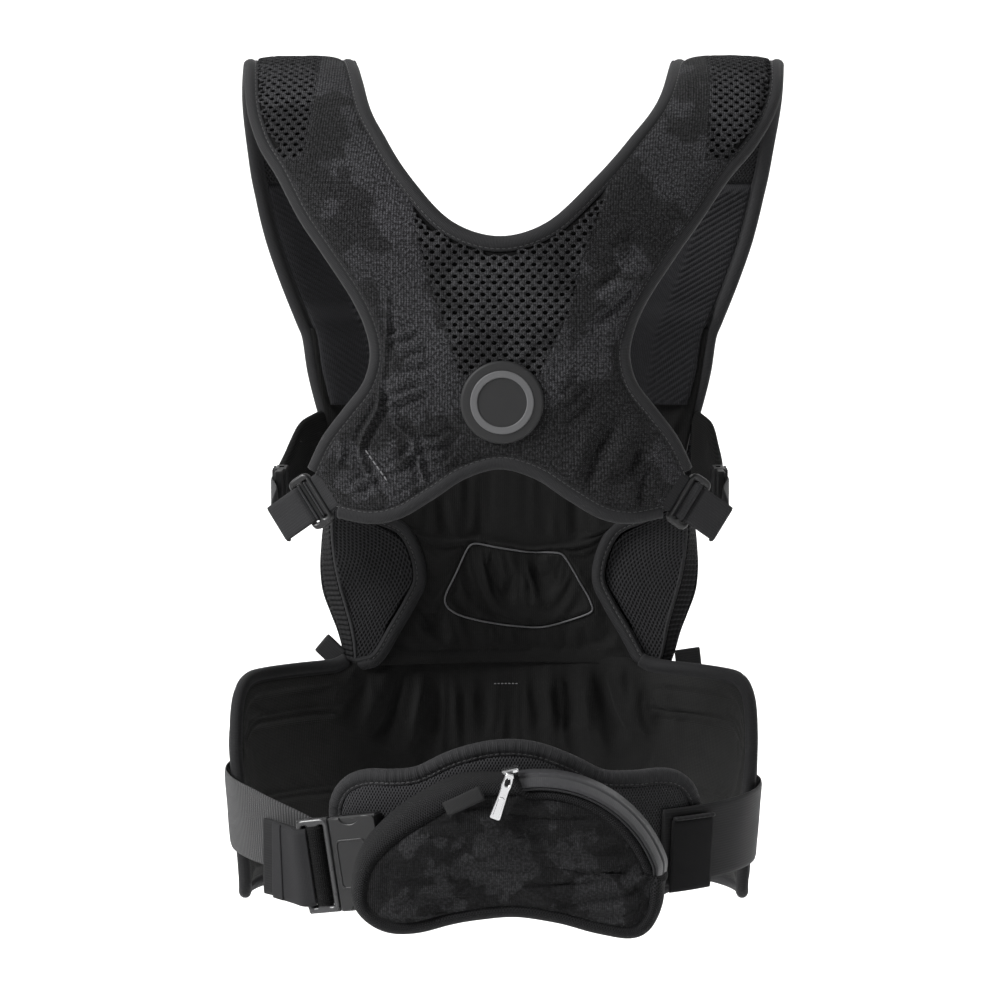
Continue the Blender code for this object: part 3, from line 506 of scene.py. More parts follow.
class Pattern:
    """A node material, written as sums on its nodes."""

    def __init__(self, name, roughness, sheen=0.0, metallic=0.0, specular=0.5):
        """A new material; the rest of its shader's inputs keep their defaults."""
        self.material = bpy.data.materials.new(name)
        self.material.use_nodes = True
        self.nodes = self.material.node_tree.nodes
        self.links = self.material.node_tree.links
        self.shader = self.nodes["Principled BSDF"]
        set_inputs(self.shader, {"Roughness": roughness, "Metallic": metallic,
                                 "Sheen Weight": sheen, "Sheen Roughness": 0.45,
                                 "Specular IOR Level": specular})

    def put(self, socket, value):
        """Links a socket, or sets its value."""
        if isinstance(value, bpy.types.NodeSocket):
            self.links.new(value, socket)
        elif value is not None:
            socket.default_value = value

    def node(self, kind, **settings):
        """A new node with its settings."""
        made = self.nodes.new(kind)
        for key, value in settings.items():
            setattr(made, key, value)
        return made

    def sum(self, operation, a, b=None, c=None, clamp=False):
        """One step of arithmetic."""
        made = self.node("ShaderNodeMath", operation=operation, use_clamp=clamp)
        for socket, value in zip(made.inputs, (a, b, c)):
            self.put(socket, value)
        return made.outputs[0]

    def uv(self):
        """The two UV lengths, in metres."""
        parts = self.node("ShaderNodeSeparateXYZ")
        self.links.new(self.node("ShaderNodeUVMap", uv_map="UVMap").outputs[0], parts.inputs[0])
        return parts.outputs[0], parts.outputs[1]

    def place(self, solid=False):
        """Where a texture is read: on the UV map or in space."""
        if solid:
            return self.node("ShaderNodeTexCoord").outputs["Object"]
        return self.node("ShaderNodeUVMap", uv_map="UVMap").outputs[0]

    def noise(self, scale, detail=2.0, rough=0.5, solid=False, at=None):
        """Cloudy noise, 0 to 1, read at a place of its own if one is given."""
        made = self.node("ShaderNodeTexNoise")
        self.links.new(self.place(solid) if at is None else at, made.inputs["Vector"])
        set_inputs(made, {"Scale": scale, "Detail": detail, "Roughness": rough})
        return made.outputs["Fac"]

    def ramp(self, value, low, high, clamp=True):
        """0 at low, 1 at high, smooth between."""
        made = self.node("ShaderNodeMapRange", interpolation_type="SMOOTHSTEP", clamp=clamp)
        self.put(made.inputs["Value"], value)
        set_inputs(made, {"From Min": low, "From Max": high})
        return made.outputs[0]

    def blend(self, share, dark, light):
        """From dark to light as share goes from 0 to 1."""
        made = self.node("ShaderNodeMix", data_type="RGBA")
        self.put(made.inputs[0], share)
        for socket, value in ((made.inputs[6], dark), (made.inputs[7], light)):
            self.put(socket, (*value, 1.0) if isinstance(value, tuple) else value)
        return made.outputs[2]

    def finish(self, colour, height=None, depth=0.0, rough=None):
        """Colour, bump height in metres of depth, and roughness if it varies."""
        value = (*colour, 1.0) if isinstance(colour, tuple) else colour
        self.put(self.shader.inputs["Base Color"], value)
        if height is not None:
            bump = self.node("ShaderNodeBump")
            set_inputs(bump, {"Distance": depth})
            self.put(bump.inputs["Height"], height)
            self.links.new(bump.outputs[0], self.shader.inputs["Normal"])
        self.put(self.shader.inputs["Roughness"], rough)
        return self.material


def wave(p, value, pitch, phase=0.0):
    """0 to 1 ripple with one crest per pitch."""
    turned = p.sum("MULTIPLY_ADD", value, 2 * math.pi / pitch, phase)
    return p.sum("MULTIPLY_ADD", p.sum("SINE", turned), 0.5, 0.5)


def knit_stitches(p, column, row):
    """Height of a plain knit: columns of V-shaped stitches."""
    u, v = p.uv()
    place = p.sum("FRACT", p.sum("DIVIDE", u, column))
    from_middle = p.sum("ABSOLUTE", p.sum("MULTIPLY_ADD", place, 2.0, -1.0))
    lean = p.sum("MULTIPLY", from_middle, -0.55 * row)
    rows = wave(p, p.sum("ADD", v, lean), row)
    ridge = p.sum("SUBTRACT", 1.0, p.sum("POWER", from_middle, 3.0))
    return p.sum("MULTIPLY", ridge, p.sum("MULTIPLY_ADD", rows, 0.55, 0.45))


def blotches(p, scale, shift, low, high):
    """Soft lobed patches that run into each other, 0 to 1."""
    mapping = p.node("ShaderNodeMapping")
    p.links.new(p.place(), mapping.inputs["Vector"])
    set_inputs(mapping, {"Location": (shift, 2 * shift, 0)})
    place = mapping.outputs[0]
    cell = p.node("ShaderNodeTexVoronoi", feature="SMOOTH_F1")
    p.links.new(place, cell.inputs["Vector"])
    set_inputs(cell, {"Scale": 2.2 * scale, "Smoothness": 0.15})
    level = p.sum("MULTIPLY_ADD", p.noise(0.85 * scale, 0.6, at=place), 1.30,
                  p.sum("MULTIPLY", cell.outputs["Distance"], -0.50))
    level = p.sum("MULTIPLY_ADD", p.noise(4.5 * scale, 1.0, at=place), 0.42, level)
    return p.ramp(level, low, high)


def knit_material(name, dark, light, scale=20.0, shift=0.0, column=0.0016, row=0.0012,
                  low=0.60, high=0.68, contrast=1.45):
    """Jacquard knit: fine stitches and a soft tonal pattern that stands a little proud."""
    p = Pattern(name, 0.85, sheen=0.02, specular=0.10)
    stitch = knit_stitches(p, column, row)
    patch = blotches(p, scale, shift, low, high)
    grain = p.noise(620, 2.0, 0.6)
    broad = p.noise(17, 2.0)
    speck = p.ramp(grain, 0.36, 0.66)
    tone = p.blend(p.sum("MULTIPLY", patch, p.sum("MULTIPLY_ADD", broad, 0.8, 0.45)), dark, light)
    worn = p.sum("MULTIPLY_ADD", p.sum("MULTIPLY", stitch, speck), contrast,
                 0.77 - 0.26 * contrast)
    worn = p.sum("MULTIPLY", worn, p.sum("MULTIPLY_ADD", broad, 0.7, 0.70))
    mixed = p.node("ShaderNodeMix", data_type="RGBA", blend_type="MULTIPLY")
    mixed.inputs[0].default_value = 1.0
    p.links.new(tone, mixed.inputs[6])
    p.links.new(worn, mixed.inputs[7])
    height = p.sum("MULTIPLY_ADD", patch, 0.5, p.sum("MULTIPLY_ADD", grain, 0.5, stitch))
    return p.finish(mixed.outputs[2], height, 0.00060)


def weave_material(name, dark, light, pitch_u, pitch_v, depth=0.00018, roughness=0.8,
                   sheen=0.02, specular=0.10, painted_light=None):
    """Fine plain weave or webbing with the given thread pitches.

    The last argument, (middle, near, far), is painted light: the cloth is painted lighter away
    from u = middle, and most of all past it.
    """
    p = Pattern(name, roughness, sheen=sheen, specular=specular)
    u, v = p.uv()
    thread = p.sum("MULTIPLY", wave(p, u, pitch_u), wave(p, v, pitch_v))
    grain = p.noise(700, 3.0, 0.65)
    broad = p.noise(22, 2.0)
    share = p.sum("MULTIPLY_ADD", thread, 0.55, p.sum("MULTIPLY", grain, 0.35))
    share = p.sum("MULTIPLY", share, p.sum("MULTIPLY_ADD", broad, 0.8, 0.6), clamp=True)
    # Painted light: the tone is raised away from u = middle, most of all past it.
    if painted_light:
        middle, near, far = painted_light
        painted_light_gain = p.sum("MULTIPLY_ADD", p.ramp(u, middle - near, middle - far), 1.15, 0.35)
        painted_light_gain = p.sum("MULTIPLY_ADD", p.ramp(u, middle + near, middle + far), 2.6, painted_light_gain)
        share = p.sum("MULTIPLY", share, painted_light_gain)
    return p.finish(p.blend(share, dark, light), p.sum("MULTIPLY_ADD", grain, 0.35, thread), depth)


def rib_material(name, dark, light, pitch, along_u=True, depth=0.0004, roughness=0.7,
                 sheen=0.02, fine=0.0011):
    """Ribs across or along, with fine threads over them."""
    p = Pattern(name, roughness, sheen=sheen, specular=0.12)
    u, v = p.uv()
    rib = wave(p, u if along_u else v, pitch)
    thread = wave(p, v if along_u else u, fine)
    grain = p.noise(800, 3.0, 0.65)
    share = p.sum("MULTIPLY_ADD", rib, 0.6, p.sum("MULTIPLY", grain, 0.35), clamp=True)
    height = p.sum("ADD", rib, p.sum("MULTIPLY_ADD", thread, 0.25, p.sum("MULTIPLY", grain, 0.3)))
    return p.finish(p.blend(share, dark, light), height, depth)


def mesh_material(name, dark, light, pitch=0.0032):
    """3-D air mesh: rows of small dark pits between raised threads."""
    p = Pattern(name, 0.85, sheen=0.02, specular=0.08)
    u, v = p.uv()
    a = p.sum("MULTIPLY_ADD", v, 0.58, u)
    b = p.sum("MULTIPLY_ADD", v, -0.58, u)
    pit = p.sum("MULTIPLY", wave(p, a, pitch), wave(p, b, pitch))
    grain = p.noise(650, 3.0, 0.7)
    knot = p.sum("SUBTRACT", 0.75, p.sum("MULTIPLY", pit, 0.9))
    share = p.ramp(p.sum("MULTIPLY_ADD", grain, 0.55, knot), 0.35, 1.10)
    return p.finish(p.blend(share, dark, light), share, 0.0006)


def plastic_material(name, colour, roughness, scuff, specular=0.35):
    """Moulded plastic: a fine spark-eroded grain and a little handling wear."""
    p = Pattern(name, roughness, specular=specular)
    grain = p.noise(1800, 2.0, 0.6, solid=True)
    worn = p.noise(45, 3.0, 0.6, solid=True)
    rough = p.sum("MULTIPLY_ADD", worn, 0.22, roughness - 0.10)
    tone = p.blend(p.sum("MULTIPLY", worn, 0.6), colour, scuff)
    return p.finish(tone, grain, 0.00003, rough)


def metal_material(name, colour, roughness):
    """Cast metal with a little uneven wear."""
    p = Pattern(name, roughness, metallic=1.0)
    worn = p.noise(260, 3.0, 0.7, solid=True)
    tone = p.blend(worn, tuple(0.72 * c for c in colour), colour)
    return p.finish(tone, worn, 0.00002, p.sum("MULTIPLY_ADD", worn, 0.2, roughness - 0.08))


def coated_material(name, dark, light):
    """Glossy coated tape with faint coil ridges under the coating."""
    p = Pattern(name, 0.42, specular=0.22)
    coil = wave(p, p.uv()[0], 0.0013)
    grain = p.noise(400, 2.0)
    rough = p.sum("MULTIPLY_ADD", grain, 0.15, 0.34)
    return p.finish(p.blend(grain, dark, light), coil, 0.00006, rough)


def thread_material(name, dark, light):
    """Twisted thread."""
    p = Pattern(name, 0.55, sheen=0.2)
    twist = p.noise(2600, 2.0, 0.6, solid=True)
    return p.finish(p.blend(twist, dark, light), twist, 0.00005)


def grey(level, cool=0.06):
    """A nearly neutral dark tone, a little cool."""
    return (level, level, level * (1 + cool))


KNIT = knit_material("knit_face", grey(0.0140, 0.05), grey(0.0310, 0.08), shift=1.49,
                     contrast=2.0)
KNIT_BELT = knit_material("knit_face_belt", grey(0.0120, 0.05), grey(0.0290, 0.08), shift=0.4,
                          contrast=1.8)
KNIT_POUCH = knit_material("knit_face_pouch", grey(0.0072), grey(0.0200, 0.06), scale=34.0,
                           shift=0.13, column=0.0012, row=0.0009, contrast=1.3)
NET = knit_material("knit_net", grey(0.0210), grey(0.0340), column=0.0013)
# Nearly black base under the open net: the dark backing, darkened further as painted shade in the
# net's holes.
NET_BASE_AND_SHADE = weave_material("net_base", grey(0.0008), grey(0.0030), 0.001, 0.001)
AIR_MESH = mesh_material("air_mesh", grey(0.0015), grey(0.0190), 0.0026)
LUMBAR_MESH = mesh_material("lumbar_mesh", grey(0.0020), grey(0.0290), 0.0019)
AIR_MESH_FINE = mesh_material("air_mesh_fine", grey(0.0010), grey(0.0118), 0.0017)
SPACER = rib_material("ribbed_spacer", grey(0.0045), grey(0.0155, 0.15), 0.0012, depth=0.0002)
LINING = mesh_material("yoke_lining", grey(0.0022), grey(0.0110), 0.0022)
SMOOTH = weave_material("smooth_lining", grey(0.0022, 0.0), grey(0.0075, -0.03), 0.0014, 0.0009)
BINDING = rib_material("binding_tape", grey(0.0080), grey(0.0225), 0.0009, depth=0.00016,
                       sheen=0.04)
BINDING_DARK = rib_material("binding_tape_dark", grey(0.0060), grey(0.0165), 0.0009,
                            depth=0.00016)
WEBBING = rib_material("webbing", grey(0.0055, 0.04), grey(0.0120), 0.0016, along_u=False,
                       depth=0.00006, roughness=0.65)
SIDE_WEB = weave_material("side_webbing", grey(0.0150, 0.04), grey(0.0310), 0.0011, 0.0016,
                          depth=0.00010, roughness=0.75)
ROLL = weave_material("webbing_roll", grey(0.0012, 0.04), grey(0.0085, 0.04), 0.0011, 0.0016,
                      depth=0.0003)
TAIL = weave_material("webbing_tail", grey(0.0110), grey(0.0230), 0.0009, 0.0009,
                      depth=0.00006)
TAIL_DARK = weave_material("webbing_tail_dark", grey(0.0035), grey(0.0070, 0.1), 0.0009, 0.0009,
                           depth=0.00006)
ELASTIC = rib_material("elastic_webbing", grey(0.0150, 0.02), grey(0.0600, 0.02), 0.0021,
                       depth=0.0005, roughness=0.65)
GATHER = rib_material("leg_elastic", grey(0.0030), grey(0.0105), 0.0030, depth=0.0001)
PLASTIC = plastic_material("buckle_plastic", grey(0.0070, 0.04), 0.36, grey(0.0150))
PLASTIC_MATT = plastic_material("buckle_plastic_matt", grey(0.0065, 0.04), 0.55, grey(0.0120),
                                specular=0.15)
# Lighter copy of the buckle plastic for the waist plug's frame: partly scuffs, partly painted light
# standing in for its lit bevels.
PLASTIC_SCUFFED_AND_LIT = plastic_material("buckle_frame", grey(0.0180, 0.04), 0.30, grey(0.0430), 0.45)
RUBBER = plastic_material("badge_rubber", grey(0.0160, 0.03), 0.55, grey(0.0200, 0.03), 0.2)
RUBBER_MARK = plastic_material("badge_mark", grey(0.0800, 0.03), 0.55, grey(0.0920, 0.03), 0.2)
COATED = coated_material("coated_zip_tape", grey(0.0230), grey(0.0400))
METAL = metal_material("zip_metal", (0.62, 0.62, 0.63), 0.22)
TAPE = weave_material("satin_tape", grey(0.0110, 0.03), grey(0.0260, 0.03), 0.0008, 0.0005,
                      roughness=0.45)
THREAD = thread_material("thread", grey(0.0075), grey(0.0190))
THREAD_DARK = thread_material("thread_dark", grey(0.0030), grey(0.0080))
THREAD_LIGHT = thread_material("thread_light", grey(0.080), grey(0.150, 0.04))
PIPING = thread_material("piping", grey(0.020), grey(0.044, 0.08))


# ================= yoke =================

FINE = 20       # cells of detail per CAD cell

NET_EDGE_S = (-0.090, -0.074, -0.042, -0.006, 0.021, 0.045)
NET_LEFT = (-0.021, -0.027, -0.036, -0.048, -0.054, -0.058)
NET_RIGHT = (0.021, 0.027, 0.042, 0.051, 0.061, 0.066)
SHOULDER_NET_X = 0.1180
SHOULDER_NET_S = 0.047

YOKE_FOLDS = [       # a negative depth is a raised tuck between two grooves
    (-0.0015, 0.0024, [(-0.066, -0.028), (-0.066, -0.048), (-0.068, -0.067), (-0.071, -0.088),
                       (-0.071, -0.100), (-0.082, -0.124), (-0.076, -0.145), (-0.068, -0.161)]),
    (-0.0011, 0.0024, [(-0.071, -0.060), (-0.060, -0.058), (-0.048, -0.053)]),
    (-0.0012, 0.0024, [(-0.071, -0.100), (-0.062, -0.097), (-0.052, -0.092), (-0.041, -0.088)]),
    (-0.0014, 0.0024, [(-0.064, -0.098), (-0.062, -0.108), (-0.050, -0.122), (-0.058, -0.134),
                       (-0.070, -0.141)]),
    (-0.0013, 0.0024, [(-0.050, -0.122), (-0.040, -0.122), (-0.026, -0.116)]),
    (-0.0014, 0.0024, [(-0.049, -0.124), (-0.046, -0.138), (-0.041, -0.152)]),
    (-0.0012, 0.0024, [(-0.024, -0.128), (-0.034, -0.136), (-0.046, -0.138)]),
    (-0.0013, 0.0024, [(-0.044, -0.146), (-0.053, -0.153), (-0.062, -0.158)]),
    (-0.0012, 0.0024, [(-0.097, -0.118), (-0.093, -0.126), (-0.096, -0.138)]),
    (-0.0012, 0.0024, [(-0.088, -0.152), (-0.080, -0.145), (-0.070, -0.141)]),
    (0.0009, 0.0036, [(-0.060, -0.072), (-0.050, -0.068), (-0.040, -0.065)]),
    (0.0008, 0.0036, [(-0.066, -0.082), (-0.052, -0.078), (-0.038, -0.074)]),
    (0.0016, 0.0052, [(0.082, -0.024), (0.069, -0.039), (0.054, -0.052)]),
    (0.0008, 0.0042, [(0.078, -0.012), (0.066, -0.022), (0.056, -0.029)]),
    (0.0008, 0.0042, [(0.080, -0.004), (0.070, -0.011), (0.060, -0.017)]),
    (0.0007, 0.0042, [(0.080, 0.004), (0.072, -0.001), (0.062, -0.008)]),
    (0.0018, 0.0060, [(0.069, -0.109), (0.057, -0.127), (0.050, -0.150)]),
    (0.0022, 0.0065, [(0.084, -0.123), (0.079, -0.134), (0.075, -0.142)]),
    (0.0016, 0.0050, [(0.090, -0.134), (0.084, -0.145), (0.081, -0.162)]),
    (0.0007, 0.0038, [(0.048, -0.078), (0.041, -0.086), (0.034, -0.096)]),
    (0.0007, 0.0038, [(0.052, -0.086), (0.045, -0.094), (0.037, -0.104)]),
    (0.0007, 0.0038, [(0.055, -0.094), (0.048, -0.102), (0.038, -0.112)]),
    (0.0008, 0.0036, [(-0.034, -0.104), (-0.026, -0.114), (-0.014, -0.120)]),
]


def pinned_grid(coarse_rows, side_a, side_b, first_row, factor):
    """Grid between two side curves, evened out at finer and finer steps."""
    cols = len(first_row(1)) - 1
    rows = np.array([line(a, b, cols + 1) for a, b in zip(side_a(1), side_b(1))])
    scale = 1
    while True:
        rows[:, 0], rows[:, -1], rows[0] = side_a(scale), side_b(scale), first_row(scale)
        for _ in range(80):
            rows[1:-1, 1:-1] = (rows[:-2, 1:-1] + rows[2:, 1:-1]
                                + rows[1:-1, :-2] + rows[1:-1, 2:]) / 4
        if scale == factor:
            return rows
        after = min(scale * 2, factor)
        old_i, old_j = np.arange(rows.shape[0]) / scale, np.arange(rows.shape[1]) / scale
        new_i = np.arange(coarse_rows * after + 1) / after
        new_j = np.arange(cols * after + 1) / after
        wide = np.stack([[np.interp(new_j, old_j, row[:, k]) for row in rows]
                         for k in range(2)], -1)
        rows = np.stack([[np.interp(new_i, old_i, column) for column in wide[:, :, k].T]
                         for k in range(2)], -1).transpose(1, 0, 2)
        scale = after


def yoke_half(factor):
    """Right half of the yoke as rows of (x, s), as the CAD has it but finer."""
    def lower(k):
        """Lower edge from the middle outwards, at k points per CAD cell."""
        curve = shifted(spline(LOWER_LINE, 5 * k + 1, True), FACE_INSET)
        curve[0, 0] = 0.0
        return curve

    def inner(k):
        """Up the middle, then along the neck."""
        neck = shifted(spline(NECK_LINE, 12 * k + 1, True), -FACE_INSET)
        neck[0, 0] = 0.0
        neck[-1, 1] = TOP_S
        return np.vstack([line(lower(k)[0], neck[0], 5 * k + 1)[:-1], neck])

    def outer(k):
        """Round the corner, then up the armhole."""
        arm = shifted(spline(ARM_LINE, 15 * k + 1), FACE_INSET)
        arm[-1, 1] = TOP_S
        return np.vstack([line(lower(k)[-1], arm[0], 2 * k + 1)[:-1], arm])

    return pinned_grid(17, inner, outer, lower, factor)


def yoke_edges():
    """The lines that the yoke's bindings follow."""
    right_arm = spline(ARM_LINE, 80)
    corner = np.vstack([right_arm[:1], spline(LOWER_LINE, 40, True)[-1:]])
    lines = [mirrored(spline(NECK_LINE, 80, True)), mirrored(spline(LOWER_LINE, 40, True))]
    for sign in (1, -1):
        lines += [right_arm * (sign, 1), corner * (sign, 1)]
    return lines


def in_net(plan, inset=0.0):
    """How far inside a net zone each point is, in metres; negative outside."""
    x, s = plan[:, 0], plan[:, 1]
    middle = np.minimum(x - np.interp(s, NET_EDGE_S, NET_LEFT),
                        np.interp(s, NET_EDGE_S, NET_RIGHT) - x)
    middle = np.minimum(middle, s + 0.082)
    shoulder = np.minimum(np.abs(x) - SHOULDER_NET_X, s - SHOULDER_NET_S)
    return np.maximum(middle, shoulder) - inset


def yoke_height(plan, edge):
    """Outer height of the yoke: padded, drawn down at the binding, puckered at its seams."""
    height = 0.0030 + 0.0030 * dome(edge / 0.014)
    soft = step(edge / 0.008)
    height += 1.65 * soft * creases(plan, YOKE_FOLDS, 0.5)
    height += soft * 0.0007 * ripple(plan[:, 0], plan[:, 1], 0.055)
    height += soft * 0.00025 * ripple(plan[:, 0], plan[:, 1], 0.016, 1.0)
    return height


def bend(obj):
    """Bakes a piece's placing in the world into its mesh."""
    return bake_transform(obj)


def make_yoke():
    """Padded knit face of the yoke and its mesh lining."""
    half = yoke_half(FINE)
    rows, cols = half.shape[:2]
    plan = half.reshape(-1, 2)
    quads = grid_quads(rows, cols)
    plan, quads = merge(np.vstack([plan, plan * (-1, 1)]),
                        np.vstack([quads, quads[:, ::-1] + len(plan)]))
    edge = np.min([distance(plan, path) for path in yoke_edges()], axis=0) - 0.004
    height = yoke_height(plan, edge)
    recess = 0.0019 * step(in_net(plan) / 0.004)
    middle = lay(drape, plan, SKIN_GAP)
    face = shell("yoke_face", lay(drape, plan, height - recess), middle, quads, plan,
                 KNIT, "knit_face", None, ties=("yoke_face", "yoke_foam"))
    zone = step(in_net(plan) / 0.0035)
    # Under the net the face takes the nearly black base: dark backing plus painted shade in the
    # holes.
    second_material(face, NET_BASE_AND_SHADE, zone[quads].mean(1) > 0.55)
    inner = 0.0024 + 0.0018 * dome(edge / 0.010)
    inner += 0.0004 * step(edge / 0.008) * ripple(plan[:, 0], plan[:, 1], 0.05, 2.0)
    lining = shell("yoke_lining", lay(drape, plan, -SKIN_GAP), lay(drape, plan, -inner), quads,
                   plan, LINING, "yoke_lining", None, ties=SAME_NAME)
    for obj in (face, lining):
        bend(obj)
    make_nets()


NET_PITCH_X = 0.0066
NET_PITCH_S = 0.0036


def net_plan(inside):
    """Hexagonal cells with a round hole each, over the region where inside() is positive."""
    tall = 0.0024
    low = NET_PITCH_S - tall
    corners = [(0.5, low), (0, tall), (-0.5, low), (-0.5, -low), (0, -tall), (0.5, -low)]
    corners = np.array([(x * NET_PITCH_X, y) for x, y in corners])
    ring = np.vstack([[a, (a + b) / 2] for a, b in zip(corners, np.roll(corners, -1, 0))])
    angle = np.arctan2(ring[:, 1], ring[:, 0])
    hole = pairs(0.00150 * np.cos(angle), 0.00122 * np.sin(angle))
    middle = 0.5 * (ring + hole)
    cell = np.vstack([ring, middle, hole])
    centres = []
    for row in range(-30, 60):
        shift = 0.5 * (row % 2)
        centres += [((k + shift) * NET_PITCH_X, row * NET_PITCH_S) for k in range(-30, 31)]
    centres = np.array(centres)
    centres = centres[inside(centres) > 0]
    plan = (centres[:, None] + cell[None]).reshape(-1, 2)
    quads = np.concatenate([grid_quads(3, 12, wrap=True)[:, ::-1] + 36 * k
                            for k in range(len(centres))])
    crown = np.tile(np.repeat([0.0, 0.00025, -0.0004], 12), len(centres))
    return plan, quads[:, ::-1], crown


def make_nets():
    """Open net knitted into the middle of the back and the outer half of each shoulder."""
    edges = yoke_edges()
    neck, arm = spline(NECK_LINE, 80, True), spline(ARM_LINE, 120)[35:]

    def inside(points):
        """Like in_net, but negative outside the yoke's own edges too."""
        x, s = np.abs(points[:, 0]), points[:, 1]
        room = np.min([distance(points, path) for path in edges], axis=0)
        within = (s < np.interp(x, *neck.T)) & (x < np.interp(s, *arm.T[::-1]))
        within &= (room > 0.0060) & (s < TOP_S)
        return np.where(within, in_net(points, -0.0008), -1)

    net, quads, crown = net_plan(inside)
    net, quads, crown = merge(net, quads, crown)
    room = np.min([distance(net, path) for path in edges], axis=0) - 0.004
    level = yoke_height(net, room) + crown - 0.0002 + 0.0002 * step(in_net(net) / 0.006)
    obj = shell("yoke_net", lay(drape, net, level), lay(drape, net, level - 0.0011 - crown),
                quads, net, NET, "knit_face", None)
    bend(obj)


BINDING_PROFILE = [(4.4, 0.0), (4.1, 1.7), (2.9, 3.2), (1.0, 4.1), (-1.0, 4.2), (-2.4, 3.6),
                   (-3.1, 3.0), (-3.7, 3.35), (-4.5, 3.2), (-5.0, 2.4), (-5.2, 0.0),
                   (-5.0, -2.3), (-4.5, -3.0), (-3.7, -3.2), (-3.1, -2.8), (-2.4, -3.4),
                   (-1.0, -4.0), (1.0, -3.9), (2.9, -3.0), (4.1, -1.6)]


def binding_profile(scale=1.0):
    """Section of a folded and sewn edge tape, in metres."""
    return np.array(BINDING_PROFILE) * 0.001 * scale


def ruched(path, up, amount=0.00035, pitch=0.011):
    """Lets a bound edge swell and shrink a little along its length."""
    run = arc(path)
    swell = amount * ripple(run, 0.3 * run, pitch * 6)
    return path + up * swell[:, None]


def plain_binding(name, surface, plan, flip, bound=True, body=HARNESS, bending=False, scale=1.0,
                  tape=None, height=0.0, inward=False, yarn=None):
    """Folded tape along a pattern line, with a row of stitches on its face.

    It stands for the CAD node of its own name if it is bound to one.
    """
    path = lay(surface, plan, height)
    up = normals(surface, *plan.T)
    path = ruched(path, up)
    obj = sweep(name, path, up, binding_profile(scale), tape or BINDING, "binding_tape",
                None if bending else body, flip=flip, ties=SAME_NAME if bound else ())
    along = tangents(path)
    across = unit(np.cross(along, up)) * flip
    if inward:
        up = -up
    seam = path - across * 0.0031 * scale + up * 0.0032 * scale
    thread = stitches(name + "_stitches", [(seam, up)], yarn or THREAD, "binding_tape",
                      None if bending else body)
    if bending:
        bend(obj)
        bend(thread)


def make_yoke_bindings():
    """Bindings of the neck, the lower edge and both armholes."""
    count = 240
    neck = mirrored(spline(NECK_LINE, count // 2, True))
    lower = mirrored(spline(LOWER_LINE, count // 3, True))
    plain_binding("yoke_neck_binding", drape, neck, -1, bending=True)
    plain_binding("yoke_lower_binding", drape, lower, 1, bending=True)
    for side, sign in SIDES:
        arm = spline(ARM_LINE, count) * (sign, 1)
        plain_binding("yoke_armhole_binding_" + side, drape, arm, sign, bending=True)


# ================= badge =================

BADGE_AT = (0.0012, -0.0966)
BADGE_STAND = 0.0067      # of the disc above the drape


def turned_profile(name, frame_at, profile, material, slot, body, segments=96, ties=(),
                   closed=False):
    """A round part from (radius, height) points, about its frame's Z axis."""
    angle = np.linspace(0, 2 * math.pi, segments, endpoint=False)
    profile = np.asarray(profile)
    rows = np.stack([np.outer(profile[:, 0], np.cos(angle)), np.outer(profile[:, 0], np.sin(angle)),
                     np.repeat(profile[:, 1:2], segments, 1)], -1)
    points = rows.reshape(-1, 3)
    faces = grid_quads(len(profile), segments, wrap=True)[:, ::-1].tolist()
    last = (len(profile) - 1) * segments
    if closed:
        faces += [[k, (k + 1) % segments, last + (k + 1) % segments, last + k]
                  for k in range(segments)]
    else:
        faces += [list(range(segments)), list(range(last, last + segments))[::-1]]
    return make_object(name, placed(points, frame_at), faces, material, slot, body,
                       uv=points[:, :2], ties=ties)


def frame_matrix(origin, along, across):
    """Frame with X along, Y nearly across and Z square to both."""
    x = Vector(along).normalized()
    z = x.cross(Vector(across)).normalized()
    return Matrix.Translation(Vector(origin)) @ Matrix((x, z.cross(x), z)).transposed().to_4x4()


def make_yoke_thread():
    """Short light stitching in the yoke's lower left corner."""
    plan = line((-0.0775, -0.1275), (-0.0667, -0.1429), 12)
    path = lay(drape, plan, 0.0080)
    up = normals(drape, *plan.T)
    stitches("yoke_thread", [(path, up)], THREAD_LIGHT, "knit_face", YOKE, length=0.0030,
             pitch=0.0032, thick=0.00045)


def make_badge():
    """Plain round rubber badge: a bevelled disc with one raised ring."""
    at = lay(drape, np.array([BADGE_AT]), BADGE_STAND)[0]
    base = frame_matrix(at, (1, 0, 0), (0, 0, 1))
    disc = [(0.0004, 0.0011), (0.0020, 0.0011), (0.0195, 0.0011), (0.0232, 0.0011),
            (0.0238, 0.0010), (0.0244, 0.0006), (0.0248, 0.0000), (0.0249, -0.0006),
            (0.0249, -0.0012), (0.0245, -0.0017), (0.0240, -0.0018), (0.0004, -0.0018)]
    turned_profile("badge_disc", base, disc[::-1], RUBBER, "badge_rubber", YOKE,
                   ties=SAME_NAME)
    ring = [(0.0148, 0.0009), (0.0148, 0.0014), (0.0150, 0.0017), (0.0153, 0.0018),
            (0.0157, 0.0018), (0.0181, 0.0018), (0.0185, 0.0018), (0.0188, 0.0017),
            (0.0190, 0.0014), (0.0190, 0.0009)]
    turned_profile("badge_ring", base, ring[::-1], RUBBER_MARK, "badge_rubber", YOKE, closed=True)


# ================= shoulder straps =================

STRAP_TAIL = [(0.1268, STRAP_END_S + 0.022), (0.1215, STRAP_END_S + 0.044),
              (0.1160, STRAP_END_S + 0.062)]
STRAP_TAIL_INNER = [(0.0600, STRAP_END_S + 0.022), (0.0590, STRAP_END_S + 0.044)]
STRAP_MESH_END = 0.302    # mesh above this seam, ribbed padding below it, on the inner side


def strap_front(x, s):
    """The drape as far as the strap's end, and the chest front that the strap is sewn to."""
    below = s > STRAP_END_S
    low = chest(x, np.minimum(STRAP_END_Z + STRAP_END_S - s, STRAP_END_Z))
    return np.where(below[..., None], low, drape(x, s))


def chevron(across, along, pitch):
    """Slanted ribs that meet along the strap's middle."""
    return np.sin(2 * math.pi * (along + 0.75 * np.abs(across)) / pitch)


